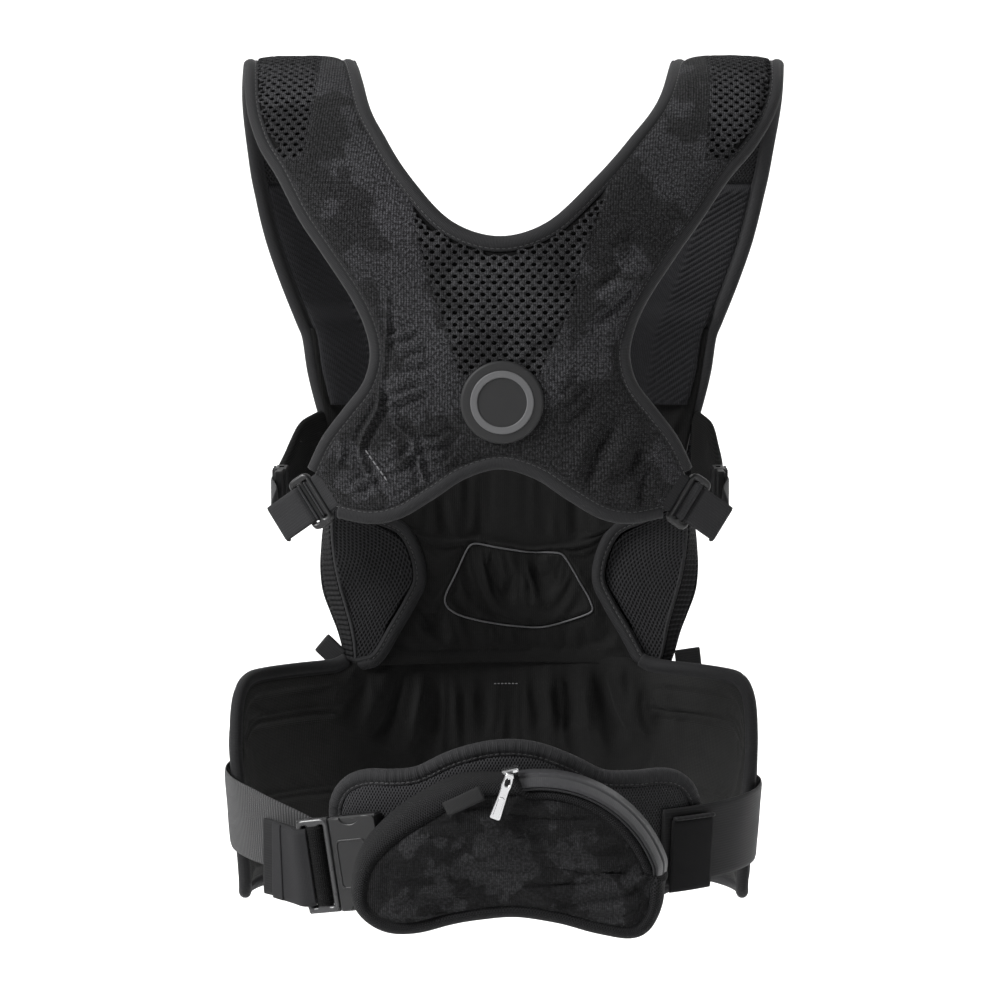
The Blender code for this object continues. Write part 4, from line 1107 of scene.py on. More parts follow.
def make_strap(side, sign):
    """Shoulder strap: knit face outside, padded and ribbed inside."""
    rows = 300
    cols = 56
    outer = shifted(spline(STRAP_OUTER + STRAP_TAIL[:2], rows), FACE_INSET)
    inner = shifted(spline(STRAP_INNER + STRAP_TAIL_INNER, rows), -FACE_INSET)
    for curve in (outer, inner):
        curve[0, 1] = TOP_S
        curve[-1, 1] = STRAP_END_S + 0.044
    grid = np.array([line(a, b, cols) for a, b in zip(inner, outer)]) * (sign, 1)
    plan = grid.reshape(-1, 2)
    quads = grid_quads(rows, cols)
    quads = quads if sign > 0 else quads[:, ::-1]
    share = np.tile(np.linspace(-1, 1, cols), rows)
    half = np.repeat(np.linalg.norm(outer - inner, axis=1) / 2, cols)
    edge = (1 - np.abs(share)) * half
    s = plan[:, 1]
    flat = pairs(share * half, s)
    seam = np.exp(-((s - STRAP_MESH_END) / 0.0016) ** 2)
    height = 0.0026 + 0.0022 * dome(edge / 0.012)
    height += step(edge / 0.008) * 0.0005 * ripple(plan[:, 0], s, 0.05, 0.5 + sign)
    sewn = 0.0034 * step((s - STRAP_END_S + 0.024) / 0.014)
    face = shell("shoulder_strap_%s_face" % side, lay(strap_front, plan, height + sewn),
                 lay(strap_front, plan, SKIN_GAP), quads, flat, KNIT,
                 "knit_face", HARNESS, ties=SAME_NAME)
    ribbed = step((s - STRAP_MESH_END - 0.002) / 0.004)
    depth = 0.0027 + 0.0022 * dome(edge / 0.014) - 0.0022 * seam
    depth += ribbed * (0.00060 * chevron(share * half, s, 0.0046) + 0.0006 * dome(edge / 0.02))
    depth += step(edge / 0.008) * 0.0006 * ripple(plan[:, 0], s, 0.045, 3 + sign)
    pad = shell("shoulder_strap_%s_pad" % side,
                lay(strap_front, plan, -SKIN_GAP), lay(strap_front, plan, -depth - sewn),
                quads, flat, SPACER, "ribbed_spacer", HARNESS,
                ties=SAME_NAME)
    upper = s[quads].mean(1) < STRAP_MESH_END
    second_material(pad, LINING, np.concatenate([np.zeros(len(quads)), upper]))
    plan = spline(STRAP_OUTER + STRAP_TAIL, 260) * (sign, 1)
    plain_binding("strap_binding_" + side, strap_front, plan, sign)


def make_front_neck_binding():
    """Binding down both straps' inner edges and across the top of the panel."""
    right = spline(STRAP_INNER, 150)[:-3]
    corner = 0.060
    left = right[::-1] * (-1, 1)
    across = pairs(np.linspace(corner, -corner, 40), STRAP_END_Z + EDGE)
    runs = [(drape, right), (chest, across), (drape, left)]
    path = softened(np.vstack([lay(surface, plan, 0.0) for surface, plan in runs]), 6)
    up = unit(np.vstack([normals(surface, *plan.T) for surface, plan in runs]))
    sweep("front_neck_binding", path, up, binding_profile(), BINDING, "binding_tape", HARNESS,
          flip=1, ties=SAME_NAME)


# ================= baby panel =================

TRAPEZOID = [(-0.0110, 0.1615), (-0.0240, 0.1635), (-0.0285, 0.1590), (-0.0360, 0.1430),
             (-0.0430, 0.1290), (-0.0415, 0.1215), (-0.0315, 0.1155), (-0.0130, 0.1110),
             (0.0065, 0.1085), (0.0250, 0.1085), (0.0540, 0.1180), (0.0555, 0.1240),
             (0.0480, 0.1375), (0.0380, 0.1540), (0.0325, 0.1575), (0.0115, 0.1580),
             (-0.0110, 0.1615)]
LINING_FOLDS = [
    (0.0040, 0.0060, [(-0.0240, 0.1540), (-0.0120, 0.1490), (-0.0030, 0.1400), (0.0050, 0.1240)]),
    (0.0036, 0.0058, [(0.0120, 0.1500), (0.0220, 0.1400), (0.0330, 0.1280)]),
    (0.0022, 0.0060, [(-0.0300, 0.1480), (-0.0160, 0.1320), (-0.0020, 0.1220)]),
    (0.0022, 0.0055, [(0.0200, 0.1520), (0.0360, 0.1400), (0.0420, 0.1280)]),
    (0.0016, 0.0055, [(-0.0380, 0.1260), (-0.0200, 0.1190), (0.0020, 0.1150)]),
    (0.0020, 0.0075, [(-0.0500, 0.2000), (-0.0420, 0.1800), (-0.0380, 0.1660)]),
    (0.0020, 0.0075, [(0.0480, 0.2000), (0.0440, 0.1820), (0.0440, 0.1650)]),
    (0.0018, 0.0080, [(-0.0700, 0.1180), (-0.0500, 0.1100), (-0.0300, 0.1020)]),
    (0.0018, 0.0080, [(0.0760, 0.1120), (0.0600, 0.1060), (0.0420, 0.1010)]),
    (0.0016, 0.0060, [(-0.0520, 0.1000), (-0.0480, 0.1120), (-0.0500, 0.1250)]),
]


LEG_BINDING_END = [(0.0945, 0.0852), (0.1030, 0.0832), (0.1120, 0.0818)]


def bulge(z):
    """Outward stand-off of the outer shell, greatest at the seat."""
    return PANEL_BULGE * step((0.255 - z) / 0.09) * (1 - 0.62 * step((0.135 - z) / 0.055))


def panel_plan(edge_points, rows, cols):
    """Pattern points across the panel from edge to edge, quads, and distance from an edge."""
    edge = spline(edge_points, rows)
    z = edge[:, 1]
    edge[:, 1] = z + (0.0065 * step((z - 0.27) / 0.03) - 0.0050 * step((0.110 - z) / 0.02))
    share = np.linspace(-1, 1, cols)
    plan = pairs(edge[:, :1] * share, edge[:, 1:]).reshape(-1, 2)
    away = ((1 - np.abs(share))[None, :] * edge[:, :1]).reshape(-1)
    return plan, grid_quads(rows, cols)[:, ::-1], away


def make_lining():
    """Smooth inner face of the panel, with its sewn outline, cross seam and folds."""
    rows, cols = ((150, 120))
    plan, quads, away = panel_plan(LINING_EDGE, rows, cols)
    x, z = plan.T
    fold = creases(plan, LINING_FOLDS)
    fold += 0.0011 * ripple(x, z, 0.075, 0.4) + 0.0005 * ripple(x, z, 0.028, 1.7)
    fold -= 0.0010 * np.exp(-(distance(plan, spline(TRAPEZOID, 80)) / 0.0016) ** 2)
    fold *= step(away / 0.012) * step((z - 0.092) / 0.006)
    lap = 0.0008 * step((0.094 - z) / 0.010)
    inner = lay(chest, plan, -0.0046 - fold - 0.0012 * step(away / 0.01) - lap)
    held = 1 - step(away / 0.006) * step((z - 0.0885) / 0.004) * step((0.298 - z) / 0.006)
    held = np.maximum(held, 0.95 * np.exp(-(distance(plan, spline(TRAPEZOID, 80)) / 0.0016) ** 2))
    inner = settle(inner, quads, held, 0.016, 0.004, gravity=0.4)
    outer = lay(chest, plan, -0.0016 - lap)
    lining = shell("panel_lining", outer, inner, quads, plan, SMOOTH, "smooth_lining", HARNESS,
                   ties=SAME_NAME)
    piping = spline(TRAPEZOID, 200)
    near = np.argmin(np.linalg.norm(plan[None] - piping[:, None], axis=2), axis=1)
    level = -np.linalg.norm(inner[near] - chest(*plan[near].T), axis=1)
    path = lay(chest, piping, level - 0.0007)
    path = softened(path, 4)
    up = -normals(chest, *piping.T)
    sweep("lining_piping", path[:-1], up[:-1], round_profile(0.0011, 0.0011, 8), PIPING,
          "smooth_lining", HARNESS, closed=True)


def make_shell():
    """Outer knit face of the panel, padded and rounded over the seat."""
    rows, cols = ((140, 130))
    plan, quads, away = panel_plan(SHELL_EDGE, rows, cols)
    x, z = plan.T
    base = 0.0036 + bulge(z)
    seams = creases(plan, [(0.0016, 0.0018, [(-0.062, 0.300), (-0.052, 0.230), (-0.056, 0.150),
                                             (-0.070, 0.092)]),
                           (0.0016, 0.0018, [(0.062, 0.300), (0.052, 0.230), (0.056, 0.150),
                                             (0.070, 0.092)])])
    puff = 0.0014 * dome(away / 0.02) + 0.0008 * ripple(x, z, 0.07, 5) + seams
    outer = lay(chest, plan, base + 0.0002 + puff * step(away / 0.006))
    inner = lay(chest, plan, base - 0.0012)
    face = shell("panel_shell", outer, inner, quads, plan, KNIT_BELT, "knit_face", HARNESS,
                 ties=SAME_NAME)


def leg_lines(count):
    """Gusset's inner and outer edge and the elastic's edge, resampled to the same rows."""
    return spline(GUSSET_INNER, count), spline(GUSSET_OUTER, count), spline(ELASTIC_OUTER, count)


def grid_normals(grid):
    """Unit normals of a grid of points: down the rows' columns crossed with along them."""
    return unit(np.cross(np.gradient(grid, axis=1), np.gradient(grid, axis=0)))


def soft_grid(name, grid, front, back, uv, sign, *args, **kwargs):
    """Closed soft part about a grid of points: front and back heights along the normals."""
    rows, cols = grid.shape[:2]
    square = grid_normals(grid) * sign
    quads = grid_quads(rows, cols)
    quads = quads if sign > 0 else quads[:, ::-1]
    outer = (grid + square * np.asarray(front)[..., None]).reshape(-1, 3)
    inner = (grid - square * np.asarray(back)[..., None]).reshape(-1, 3)
    return shell(name, outer, inner, quads, uv.reshape(-1, 2), *args, **kwargs)


def grid_uv(grid):
    """UV in metres, from the grid's own lengths."""
    down = arc(grid[:, grid.shape[1] // 2])
    wide = np.array([arc(row) - arc(row)[-1] / 2 for row in grid])
    return pairs(wide, down[:, None])


def stretched(corners, rows, cols):
    """Fine grid through a coarse grid of points."""
    coarse = np.asarray(corners)
    fine = np.stack([spline(column, rows) for column in coarse.transpose(1, 0, 2)], 1)
    return np.stack([spline(row, cols) for row in fine])


def make_leg_side(side, sign):
    """Stretch-mesh gusset and the gathered elastic round the leg opening."""
    rows = 150
    inner, outer, elastic = leg_lines(24)
    for edge in (inner, outer, elastic):
        edge[:, 1] -= 0.0105 * step((0.112 - edge[:, 1]) / 0.018)
    stand = 0.35 * bulge(outer[:, 1])
    a = lay(chest, inner * (sign, 1), -0.0012)
    b = lay(chest, outer * (sign, 1), stand)
    c = lay(chest, (outer + (0.0008, 0)) * (sign, 1), stand + 0.0016)
    d = lay(chest, elastic * (sign, 1), 0.9 * bulge(elastic[:, 1]) + 0.0016)
    gusset = stretched(np.stack([a, (2 * a + b) / 3, (a + 2 * b) / 3, b], 1), rows, 60)
    uv = grid_uv(gusset)
    bumps = np.cos(2 * math.pi * (uv[..., 1] + 0.45 * uv[..., 0]) / 0.0037)
    bumps = bumps * np.cos(2 * math.pi * (uv[..., 0] - 0.2 * uv[..., 1]) / 0.0062)
    swell = 0.0012 * ripple(uv[..., 0], uv[..., 1], 0.05, sign)
    swell[:, [0, -1]] *= 0
    soft_grid("mesh_gusset_" + side, gusset, 0.0008 + swell, 0.0008 + 0.00045 * bumps - swell,
              uv, -sign, AIR_MESH, "air_mesh", HARNESS, ties=SAME_NAME)
    band = stretched(np.stack([c, (c + d) / 2, d], 1), rows * 2, 20)
    uv = grid_uv(band)
    gather = 0.0006 * np.sin(2 * math.pi * uv[..., 1] / 0.0034)
    soft_grid("leg_elastic_" + side, band, 0.0006 + gather, 0.0006 - gather, uv, -sign, GATHER,
              "elastic_webbing", HARNESS, ties=SAME_NAME)
    fold = resample(b, rows)
    up = np.repeat([[sign * 0.75, -0.66, 0.0]], rows, 0)
    sweep("gusset_fold_" + side, fold, up, round_profile(0.0026, 0.0020, 10), BINDING,
          "binding_tape", HARNESS)
    edge = spline(LINING_EDGE[3:] + LEG_BINDING_END, 130) * (sign, 1)
    tucked = 0.0095 * step((np.abs(edge[:, 0]) - 0.088) / 0.018) * (edge[:, 1] < 0.1)
    plain_binding("leg_binding_" + side, chest, edge, -sign, bound=False, scale=0.90,
                  tape=BINDING_DARK, height=tucked - 0.0042, inward=True, yarn=THREAD_DARK)


def make_wing(side, sign):
    """Padded wing that reaches back from the panel to the side buckle."""
    plan = spline([(0.1205, 0.0805), (0.132, 0.064), (0.1375, 0.049), (0.1395, 0.0352)], 6)
    top = spline([(0.0, 0.253), (0.4, 0.246), (0.7, 0.231), (1.0, 0.2215)], 6)
    low = spline([(0.0, 0.197), (0.4, 0.193), (0.7, 0.191), (1.0, 0.1925)], 6)
    corners = [[(sign * p[0] + FRONT_LEAN * (1 - t[0]), p[1], b[1] + (t[1] - b[1]) * k / 3)
                for k in range(4)] for p, t, b in zip(plan, top, low)]
    grid = stretched(np.array(corners), 60, 60)
    share = np.linspace(-1, 1, 60)[None, :]
    away = np.minimum((1 - np.abs(share)) * 0.024, np.linspace(0.004, 0.05, 60)[:, None])
    away = np.minimum(away, np.linspace(0.05, 0.001, 60)[:, None])
    thick = 0.0006 + 0.0026 * dome(away / 0.009)
    uv = grid_uv(grid)
    pucker = 0.0005 * ripple(uv[..., 0], uv[..., 1], 0.03, sign) * dome(away / 0.01)
    wing = soft_grid("side_wing_" + side, grid, thick + pucker, thick - pucker, uv, sign, SMOOTH,
                     "smooth_lining", HARNESS, ties=SAME_NAME)


def chest_frame(sign):
    """Frame at the root of a seat tab, X out along the tab."""
    at = lay(chest, np.array([(sign * 0.1065, 0.087)]), 0.010)[0]
    way = (1, 0.15, 0.12) if sign > 0 else (-0.55, 0.2, 0.50)
    return frame_matrix(at, way, (0, 0, 1))


def make_seat_tab(side, sign):
    """Blank webbing tab at the foot of the gusset, folded back on itself."""
    base = chest_frame(sign)
    fold = [(0.0002, 0.0009), (0.0060, 0.0013), (0.0140, 0.0012), (0.0162, 0.0008), (0.0168, 0.0),
            (0.0162, -0.0008), (0.0140, -0.0010), (0.0060, -0.0008), (0.0002, -0.0006)]
    run = spline(fold, 44)
    path = placed(np.stack([run[:, 0], 0 * run[:, 0], run[:, 1]], 1), base)
    ways = np.repeat([np.array(base.to_3x3())[:, 1]], len(path), 0)
    flat_band("seat_tab_" + side, path, ways, 0.0142, WEBBING, "webbing", "seat_tab_" + side,
              thick=0.0008, ties=SAME_NAME)


# ================= belt and lumbar pad =================

TURN = np.linspace(-2 * math.pi, 2 * math.pi, 4001)
TURN_LENGTH = arc(waist(TURN, np.full(len(TURN), 0.03)))
TURN_LENGTH -= np.interp(0.0, TURN, TURN_LENGTH)


def loop(run, z):
    """Waist loop with run measured round it from the wearer's right, towards the front."""
    return waist(np.interp(run, TURN_LENGTH, TURN), z)


def run_of(angle):
    """Length round the waist loop at an angle."""
    return np.interp(angle, TURN, TURN_LENGTH)


BELT_MIDDLE = run_of(math.pi / 2)
# Belt lining with painted light: lighter in both wings than in the middle, most of all in the
# wearer's left wing.
BELT_LINING_PAINTED_LIGHT = weave_material("belt_lining", grey(0.0028, 0.0), grey(0.0190, -0.03), 0.0014, 0.0009,
                             painted_light=(BELT_MIDDLE, 0.080, 0.150))
QUILT_LINES = (0.0080, 0.0225, 0.0275, 0.075, 0.080)     # below the belt's top edge
BELT_FOLDS = [
    (0.0042, 0.0070, [(-0.066, 0.083), (-0.078, 0.060), (-0.092, 0.030)]),
    (0.0034, 0.0060, [(-0.045, 0.080), (-0.052, 0.060), (-0.050, 0.035)]),
    (0.0022, 0.0050, [(-0.024, 0.074), (-0.027, 0.058), (-0.034, 0.038)]),
    (0.0024, 0.0060, [(0.012, 0.070), (0.006, 0.052), (0.008, 0.034)]),
    (0.0036, 0.0065, [(0.034, 0.076), (0.040, 0.056), (0.037, 0.034)]),
    (0.0040, 0.0070, [(0.056, 0.083), (0.068, 0.060), (0.080, 0.030)]),
    (0.0022, 0.0060, [(0.082, 0.078), (0.098, 0.062), (0.108, 0.044)]),
    (0.0020, 0.0060, [(-0.098, 0.072), (-0.112, 0.058), (-0.120, 0.040)]),
]


def belt_top(angle):
    """Height of the belt's top edge: higher behind the panel, rounded at its ends."""
    share = np.abs(np.cos(angle))
    height = BELT_MID_TOP + (BELT_TOP - BELT_MID_TOP) * step((share - 0.525) / 0.12)
    from_end = np.degrees(np.minimum(angle, math.pi - angle)) + 4
    return height - (BELT_TOP - 0.030) * (1 - dome(from_end / 24))


def make_belt():
    """Padded waist belt: knit outside, smooth inside, quilted in its wings."""
    cols, rows = ((300, 70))
    angle = np.radians(np.linspace(-4.3, 184.3, cols))
    top = belt_top(angle)
    share = np.linspace(0, 1, rows)[:, None]
    z = BELT_BOTTOM - 0.0012 + (top + 0.0012 - BELT_BOTTOM + 0.0012) * share
    plan = pairs(run_of(angle), z).reshape(-1, 2)
    quads = grid_quads(rows, cols)
    away = np.minimum(plan[:, 1] - BELT_BOTTOM, np.tile(top, rows) - plan[:, 1])
    from_end = np.minimum(plan[:, 0] - run_of(angle[0]), run_of(angle[-1]) - plan[:, 0])
    edge = np.minimum(away, from_end)
    wing = step((np.abs(plan[:, 0] - BELT_MIDDLE) - 0.100) / 0.02)
    below = np.tile(top, rows) - plan[:, 1]
    quilt = sum(np.exp(-((below - d) / 0.0011) ** 2) for d in QUILT_LINES)
    quilt = quilt * wing * step(from_end / 0.03)
    front = 0.0028 + 0.0020 * dome(edge / 0.012) + 0.0006 * ripple(*plan.T, 0.06, 1)
    front -= 0.0017 * quilt * step(edge / 0.006)
    back = 0.0030 + 0.0024 * dome(edge / 0.014) - 0.0020 * quilt * step(edge / 0.006)
    folds = creases(plan - (BELT_MIDDLE, 0.0), BELT_FOLDS)
    back += step(edge / 0.010) * (0.0009 * ripple(*plan.T, 0.05, 4) + folds)
    face = shell("belt_face", lay(loop, plan, front), lay(loop, plan, SKIN_GAP), quads,
                 plan, KNIT_BELT, "knit_face", HARNESS, ties=("belt_face", "belt_foam"))
    inner = lay(loop, plan, -back)
    held = 1 - step(edge / 0.006) * (1 - 0.8 * quilt)
    inner = settle(inner, quads, held, 0.010, 0.004, gravity=0.3)
    make_bar_tack(plan, inner)
    lining = shell("belt_lining", lay(loop, plan, -SKIN_GAP), inner, quads, plan,
                   BELT_LINING_PAINTED_LIGHT, "smooth_lining", HARNESS, ties=SAME_NAME)
    make_belt_binding()


def make_belt_binding():
    """Binding round both wings and along the bottom, and its stitches."""
    right = np.radians(np.linspace(53.6, -4, 90))
    low = BELT_BOTTOM - EDGE
    wing = [pairs(run_of(right), belt_top(right) + EDGE)]
    end = run_of(right[-1]) - EDGE
    wing.append([(end, z) for z in np.linspace(0.024, low + 0.004, 24)])
    wing = np.vstack(wing)
    bottom = pairs(np.linspace(end + 0.004, 2 * BELT_MIDDLE - end - 0.004, 200), low)
    path = np.vstack([wing, bottom, wing[::-1] * (-1, 1) + (2 * BELT_MIDDLE, 0)])
    path = resample(path, 520)
    path = softened(path, 10)
    plain_binding("belt_binding", loop, path, 1, tape=BINDING_DARK)


def make_bar_tack(plan, skin):
    """Short light bar of stitches on the belt's lining, below the panel."""
    spots = pairs(np.linspace(BELT_MIDDLE - 0.016, BELT_MIDDLE, 14), 0.0705)
    near = np.argmin(np.linalg.norm(plan[None] - spots[:, None], axis=2), axis=1)
    up = -normals(loop, *spots.T)
    path = skin[near] + up * 0.0003
    path = softened(path, 2)
    stitches("belt_bar_tack", [(path, up)], THREAD_LIGHT, "smooth_lining", HARNESS, length=0.0016,
             pitch=0.0018, thick=0.00035)


def on_loop(points):
    """(x, z) on the back of the loop to (run, z)."""
    return pairs(run_of(back_angle(points[..., 0])), points[..., 1])


def make_lumbar():
    """Lumbar pad: crowned speckled mesh in front, smooth lining behind, ruched binding."""
    cols, rows = ((150, 60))
    top, bottom = spline(LUMBAR_TOP, cols), spline(LUMBAR_BOTTOM, cols)
    share = np.linspace(0, 1, rows)[:, None, None]
    grid = bottom[None] + (top - bottom)[None] * share
    plan = on_loop(grid).reshape(-1, 2)
    quads = grid_quads(rows, cols)
    outline = on_loop(np.vstack([top, bottom[::-1], top[:1]]))
    edge = distance(plan, outline)
    front = 0.0024 + 0.0026 * dome(edge / 0.012)
    front += step(edge / 0.008) * 0.0005 * ripple(*plan.T, 0.035, 2)
    back = 0.0026 + 0.0024 * dome(edge / 0.012)
    face = shell("lumbar_face", lay(loop, plan, front), lay(loop, plan, SKIN_GAP), quads, plan,
                 LUMBAR_MESH, "air_mesh", HARNESS, ties=SAME_NAME)
    pad = shell("lumbar_pad", lay(loop, plan, -SKIN_GAP), lay(loop, plan, -back), quads, plan,
                SMOOTH, "smooth_lining", HARNESS, ties=SAME_NAME)
    ring = np.vstack([top, bottom[::-1]])
    ring = resample(np.vstack([ring, ring[:1]]), 400)[:-1]
    along = tangents(ring, closed=True)
    ring = ring + pairs(-along[:, 1], along[:, 0]) * (EDGE - 0.0010)
    ring = softened(ring, 8, closed=True)
    plan = on_loop(ring)
    up = normals(loop, *plan.T)
    run = arc(plan)
    ruche = 0.0005 * ripple(run, 0 * run, 0.018) + 0.00022 * np.sin(2 * math.pi * run / 0.0047)
    path = lay(loop, plan, 0.0004 + ruche)
    sweep("lumbar_binding", path, up, binding_profile(1.08), BINDING, "binding_tape", HARNESS,
          closed=True, flip=-1, ties=SAME_NAME)
    across = unit(np.cross(tangents(path), up))
    seam = path + across * 0.0036 + up * 0.0036
    stitches("lumbar_stitches", [(seam, up)], THREAD, "binding_tape", HARNESS)


# ================= waist straps and buckles =================

WEB_T = 0.0016
WEB_CLEAR = 0.0006         # between webbing and the bar that it lies on
BAND_COLS = 22
WAIST_TURN = (Matrix.Rotation(math.radians(-20), 3, "Z")
              @ Matrix.Rotation(math.radians(-9), 3, "Y"))
WAIST_FRAME = frame_matrix((-0.0990, -0.1086, -0.0085), WAIST_TURN @ Vector((1, 0, 0)),
                           WAIST_TURN @ Vector((0, 0, 1)))
PLUG_BASE = 0.0215        # length of the waist plug behind the socket
SLOT_IN = 0.0048          # from the plug's rear edge to the middle of its rear slot
SIDE_BASE = 0.0185
PLUG_BAR = 0.0062         # thickness of the bars that carry the webbing
SIDE_BAR = 0.0088 * 0.62
LOCK_BAR = 0.0040


def flat_band(name, path, ways, width, material, slot, body, cols=16, thick=WEB_T, waves=0.0,
              ties=()):
    """Flat webbing along a path; ways gives the direction that its width points."""
    path, ways = np.asarray(path), unit(np.asarray(ways, float))
    share = np.linspace(-0.5, 0.5, cols)
    grid = path[:, None] + ways[:, None] * (share * width)[None, :, None]
    run = arc(path)
    uv = pairs(run[:, None], share[None] * width)
    round_edge = thick / 2 * (0.35 + 0.65 * dome((0.5 - np.abs(share)) * width / 0.0012))
    sway = waves * ripple(run[:, None], share[None] * width, 0.03)
    return soft_grid(name, grid, round_edge + sway, round_edge - sway, uv, 1, material, slot, body,
                     ties=ties)


def waist_band(name, start, stop, offset, width, height_of, material, slot, ties=(), waves=0.0,
               pinch=None, body=HARNESS):
    """A strap round the waist between two angles, in degrees from the wearer's right."""
    count = 3 + int(abs(stop - start) / (0.7))
    share = np.linspace(0, 1, count)
    angle = np.radians(start + (stop - start) * share)
    across = np.linspace(-0.5, 0.5, BAND_COLS)
    if stop < start:
        across = across[::-1]
    wide = np.full(count, width) if pinch is None else width * pinch(share)
    z = height_of(share)[:, None] + across[None] * wide[:, None]
    plan = pairs(angle[:, None], z).reshape(-1, 2)
    run = arc(waist(angle, np.zeros(count)))
    uv = pairs(run[:, None], z).reshape(-1, 2)
    sway = waves * ripple(uv[:, 0], uv[:, 1], 0.035, 1.0)
    half = WEB_T / 2 * (0.4 + 0.6 * dome((0.5 - np.abs(np.tile(across, count))) * width / 0.0012))
    level = offset + sway
    return shell(name, lay(waist, plan, level + half), lay(waist, plan, level - half),
                 grid_quads(count, BAND_COLS), uv, material, slot, body, ties=ties)


def make_waist_straps():
    """Elastic on the left, webbing on the right with its folded tail."""
    waist_band("waist_elastic_left", 166, 233, STRAP_OFFSET, 0.048,
               lambda t: 0.010 - 0.004 * t - 0.011 * t ** 4, ELASTIC, "elastic_webbing",
               ties=SAME_NAME, waves=0.0004,
               pinch=lambda t: 1 - 0.26 * t ** 4)
    waist_band("waist_webbing_right", 14, -52, STRAP_OFFSET, 0.048, lambda t: 0.001 - 0.002 * t,
               WEBBING, "webbing", ties=SAME_NAME, waves=0.0003)
    waist_band("waist_tail_right", -37.5, -50, TAIL_OFFSET, 0.045, lambda t: -0.006 + 0 * t,
               TAIL_DARK, "webbing", ties=SAME_NAME)
    turned = np.radians(np.linspace(-38.2, -49.5, 24))
    plan = pairs(turned, 0.0172)
    path = lay(waist, plan, TAIL_OFFSET + 0.0009 + 0.0003 * np.sin(np.arange(24) * 1.9))
    sweep("waist_tail_fold", path, normals(waist, *plan.T), round_profile(0.0026, 0.0042, 12),
          WEBBING, "webbing", HARNESS, flip=-1)


def bevelled(node, width=0.0008, material=None):
    """A moulded CAD part as it is, with its edges rounded and its own finish."""
    obj = bpy.data.objects[node]
    edge = obj.modifiers.new("Moulded edges", "BEVEL")
    edge.width = width
    edge.segments = 2
    edge.limit_method = "ANGLE"
    edge.angle_limit = math.radians(35)
    edge.use_clamp_overlap = True
    for place in range(len(obj.material_slots)):
        obj.material_slots[place].material = material or PLASTIC
    return obj


def moulding(name, outlines, thickness, matrix, body, slot="buckle_plastic", round_edge=0.0006,
             material=None):
    """Moulded plate from closed outlines, holes among them, in its frame's XY plane."""
    curve = bpy.data.curves.new(name, "CURVE")
    curve.dimensions = "2D"
    curve.fill_mode = "BOTH"
    curve.extrude = thickness / 2 - round_edge
    curve.bevel_depth = round_edge
    curve.bevel_resolution = 2
    curve.offset = -round_edge
    for outline in outlines:
        path = curve.splines.new("POLY")
        path.points.add(len(outline) - 1)
        path.use_cyclic_u = True
        for node, (x, y) in zip(path.points, outline):
            node.co = (x, y, 0.0, 1.0)
    maker = bpy.data.objects.new(name + "_curve", curve)
    bpy.context.scene.collection.objects.link(maker)
    bpy.context.view_layer.update()
    mesh = bpy.data.meshes.new_from_object(maker.evaluated_get(
        bpy.context.evaluated_depsgraph_get()))
    bpy.data.objects.remove(maker, do_unlink=True)
    bpy.data.curves.remove(curve)
    points = np.array([placed(v.co, matrix) for v in mesh.vertices])
    faces = [list(p.vertices) for p in mesh.polygons]
    return make_object(name, points, faces, material or PLASTIC, slot, body)


def rounded(x0, x1, y0, y1, radius, count=6):
    """Rounded rectangle, anticlockwise."""
    corners = ((x1, y1, 0), (x0, y1, 1), (x0, y0, 2), (x1, y0, 3))
    outline = []
    for x, y, turn in corners:
        cx = x - radius if x == x1 else x + radius
        cy = y - radius if y == y1 else y + radius
        for k in range(count + 1):
            angle = math.pi / 2 * (turn + k / count)
            outline.append((cx + radius * math.cos(angle), cy + radius * math.sin(angle)))
    return outline


def raised_rim(prefix, matrix, half, length, height, body, sign=1):
    """Socket's raised cover, waisted beside the prongs, with a shallow inner frame."""
    notch = 0.17 * half
    outer = [(0.0012, half - 0.0006), (0.0070, half - 0.0008)]
    outer += [(0.0145 + 0.0066 * math.cos(a), half - notch * math.sin(a))
              for a in np.linspace(math.pi, 0, 13)]
    outer += [(length - 0.0022, half - 0.0008), (length - 0.0008, half - 0.0030)]
    outline = outer + [(x, -y) for x, y in reversed(outer)]
    frame_at = matrix @ Matrix.Translation((0, 0, sign * height))
    moulding(prefix + "_socket_cover", [outline[::-1]], 0.0014, frame_at, body)
    rim = rounded(0.0035, length - 0.0090, -0.52 * half, 0.52 * half, 0.0030)
    hole = rounded(0.0047, length - 0.0102, -0.52 * half + 0.0012, 0.52 * half - 0.0012, 0.0022)
    frame_at = matrix @ Matrix.Translation((0, 0, sign * (height + 0.0007)))
    moulding(prefix + "_socket_rim", [rim, hole[::-1]], 0.0010, frame_at, body, round_edge=0.0003)


def make_waist_buckle():
    """Plug, socket and prongs, with the webbing threaded through the plug."""
    half = 0.029
    plug = rounded(-PLUG_BASE - 0.0008, -0.0008, -half, half, 0.0050)
    slots = [rounded(x - 0.0019, x + 0.0019, -0.0250, 0.0250, 0.0014)
             for x in (-0.0062, SLOT_IN - PLUG_BASE)]
    # The frame's lighter plastic is partly scuffs and partly painted light on its bevels.
    moulding("waist_plug_frame", [plug] + [s[::-1] for s in slots], 0.0074, WAIST_FRAME,
             "waist_plug", round_edge=0.0014, material=PLASTIC_SCUFFED_AND_LIT)
    bevelled("waist_plug", 0.0005)
    bevelled("waist_socket", 0.0009)
    for name in ("upper", "lower"):
        bevelled("waist_prong_" + name, 0.0006)
    raised_rim("waist", WAIST_FRAME, half, 0.032, 0.0053, HARNESS)
    make_waist_webbing()


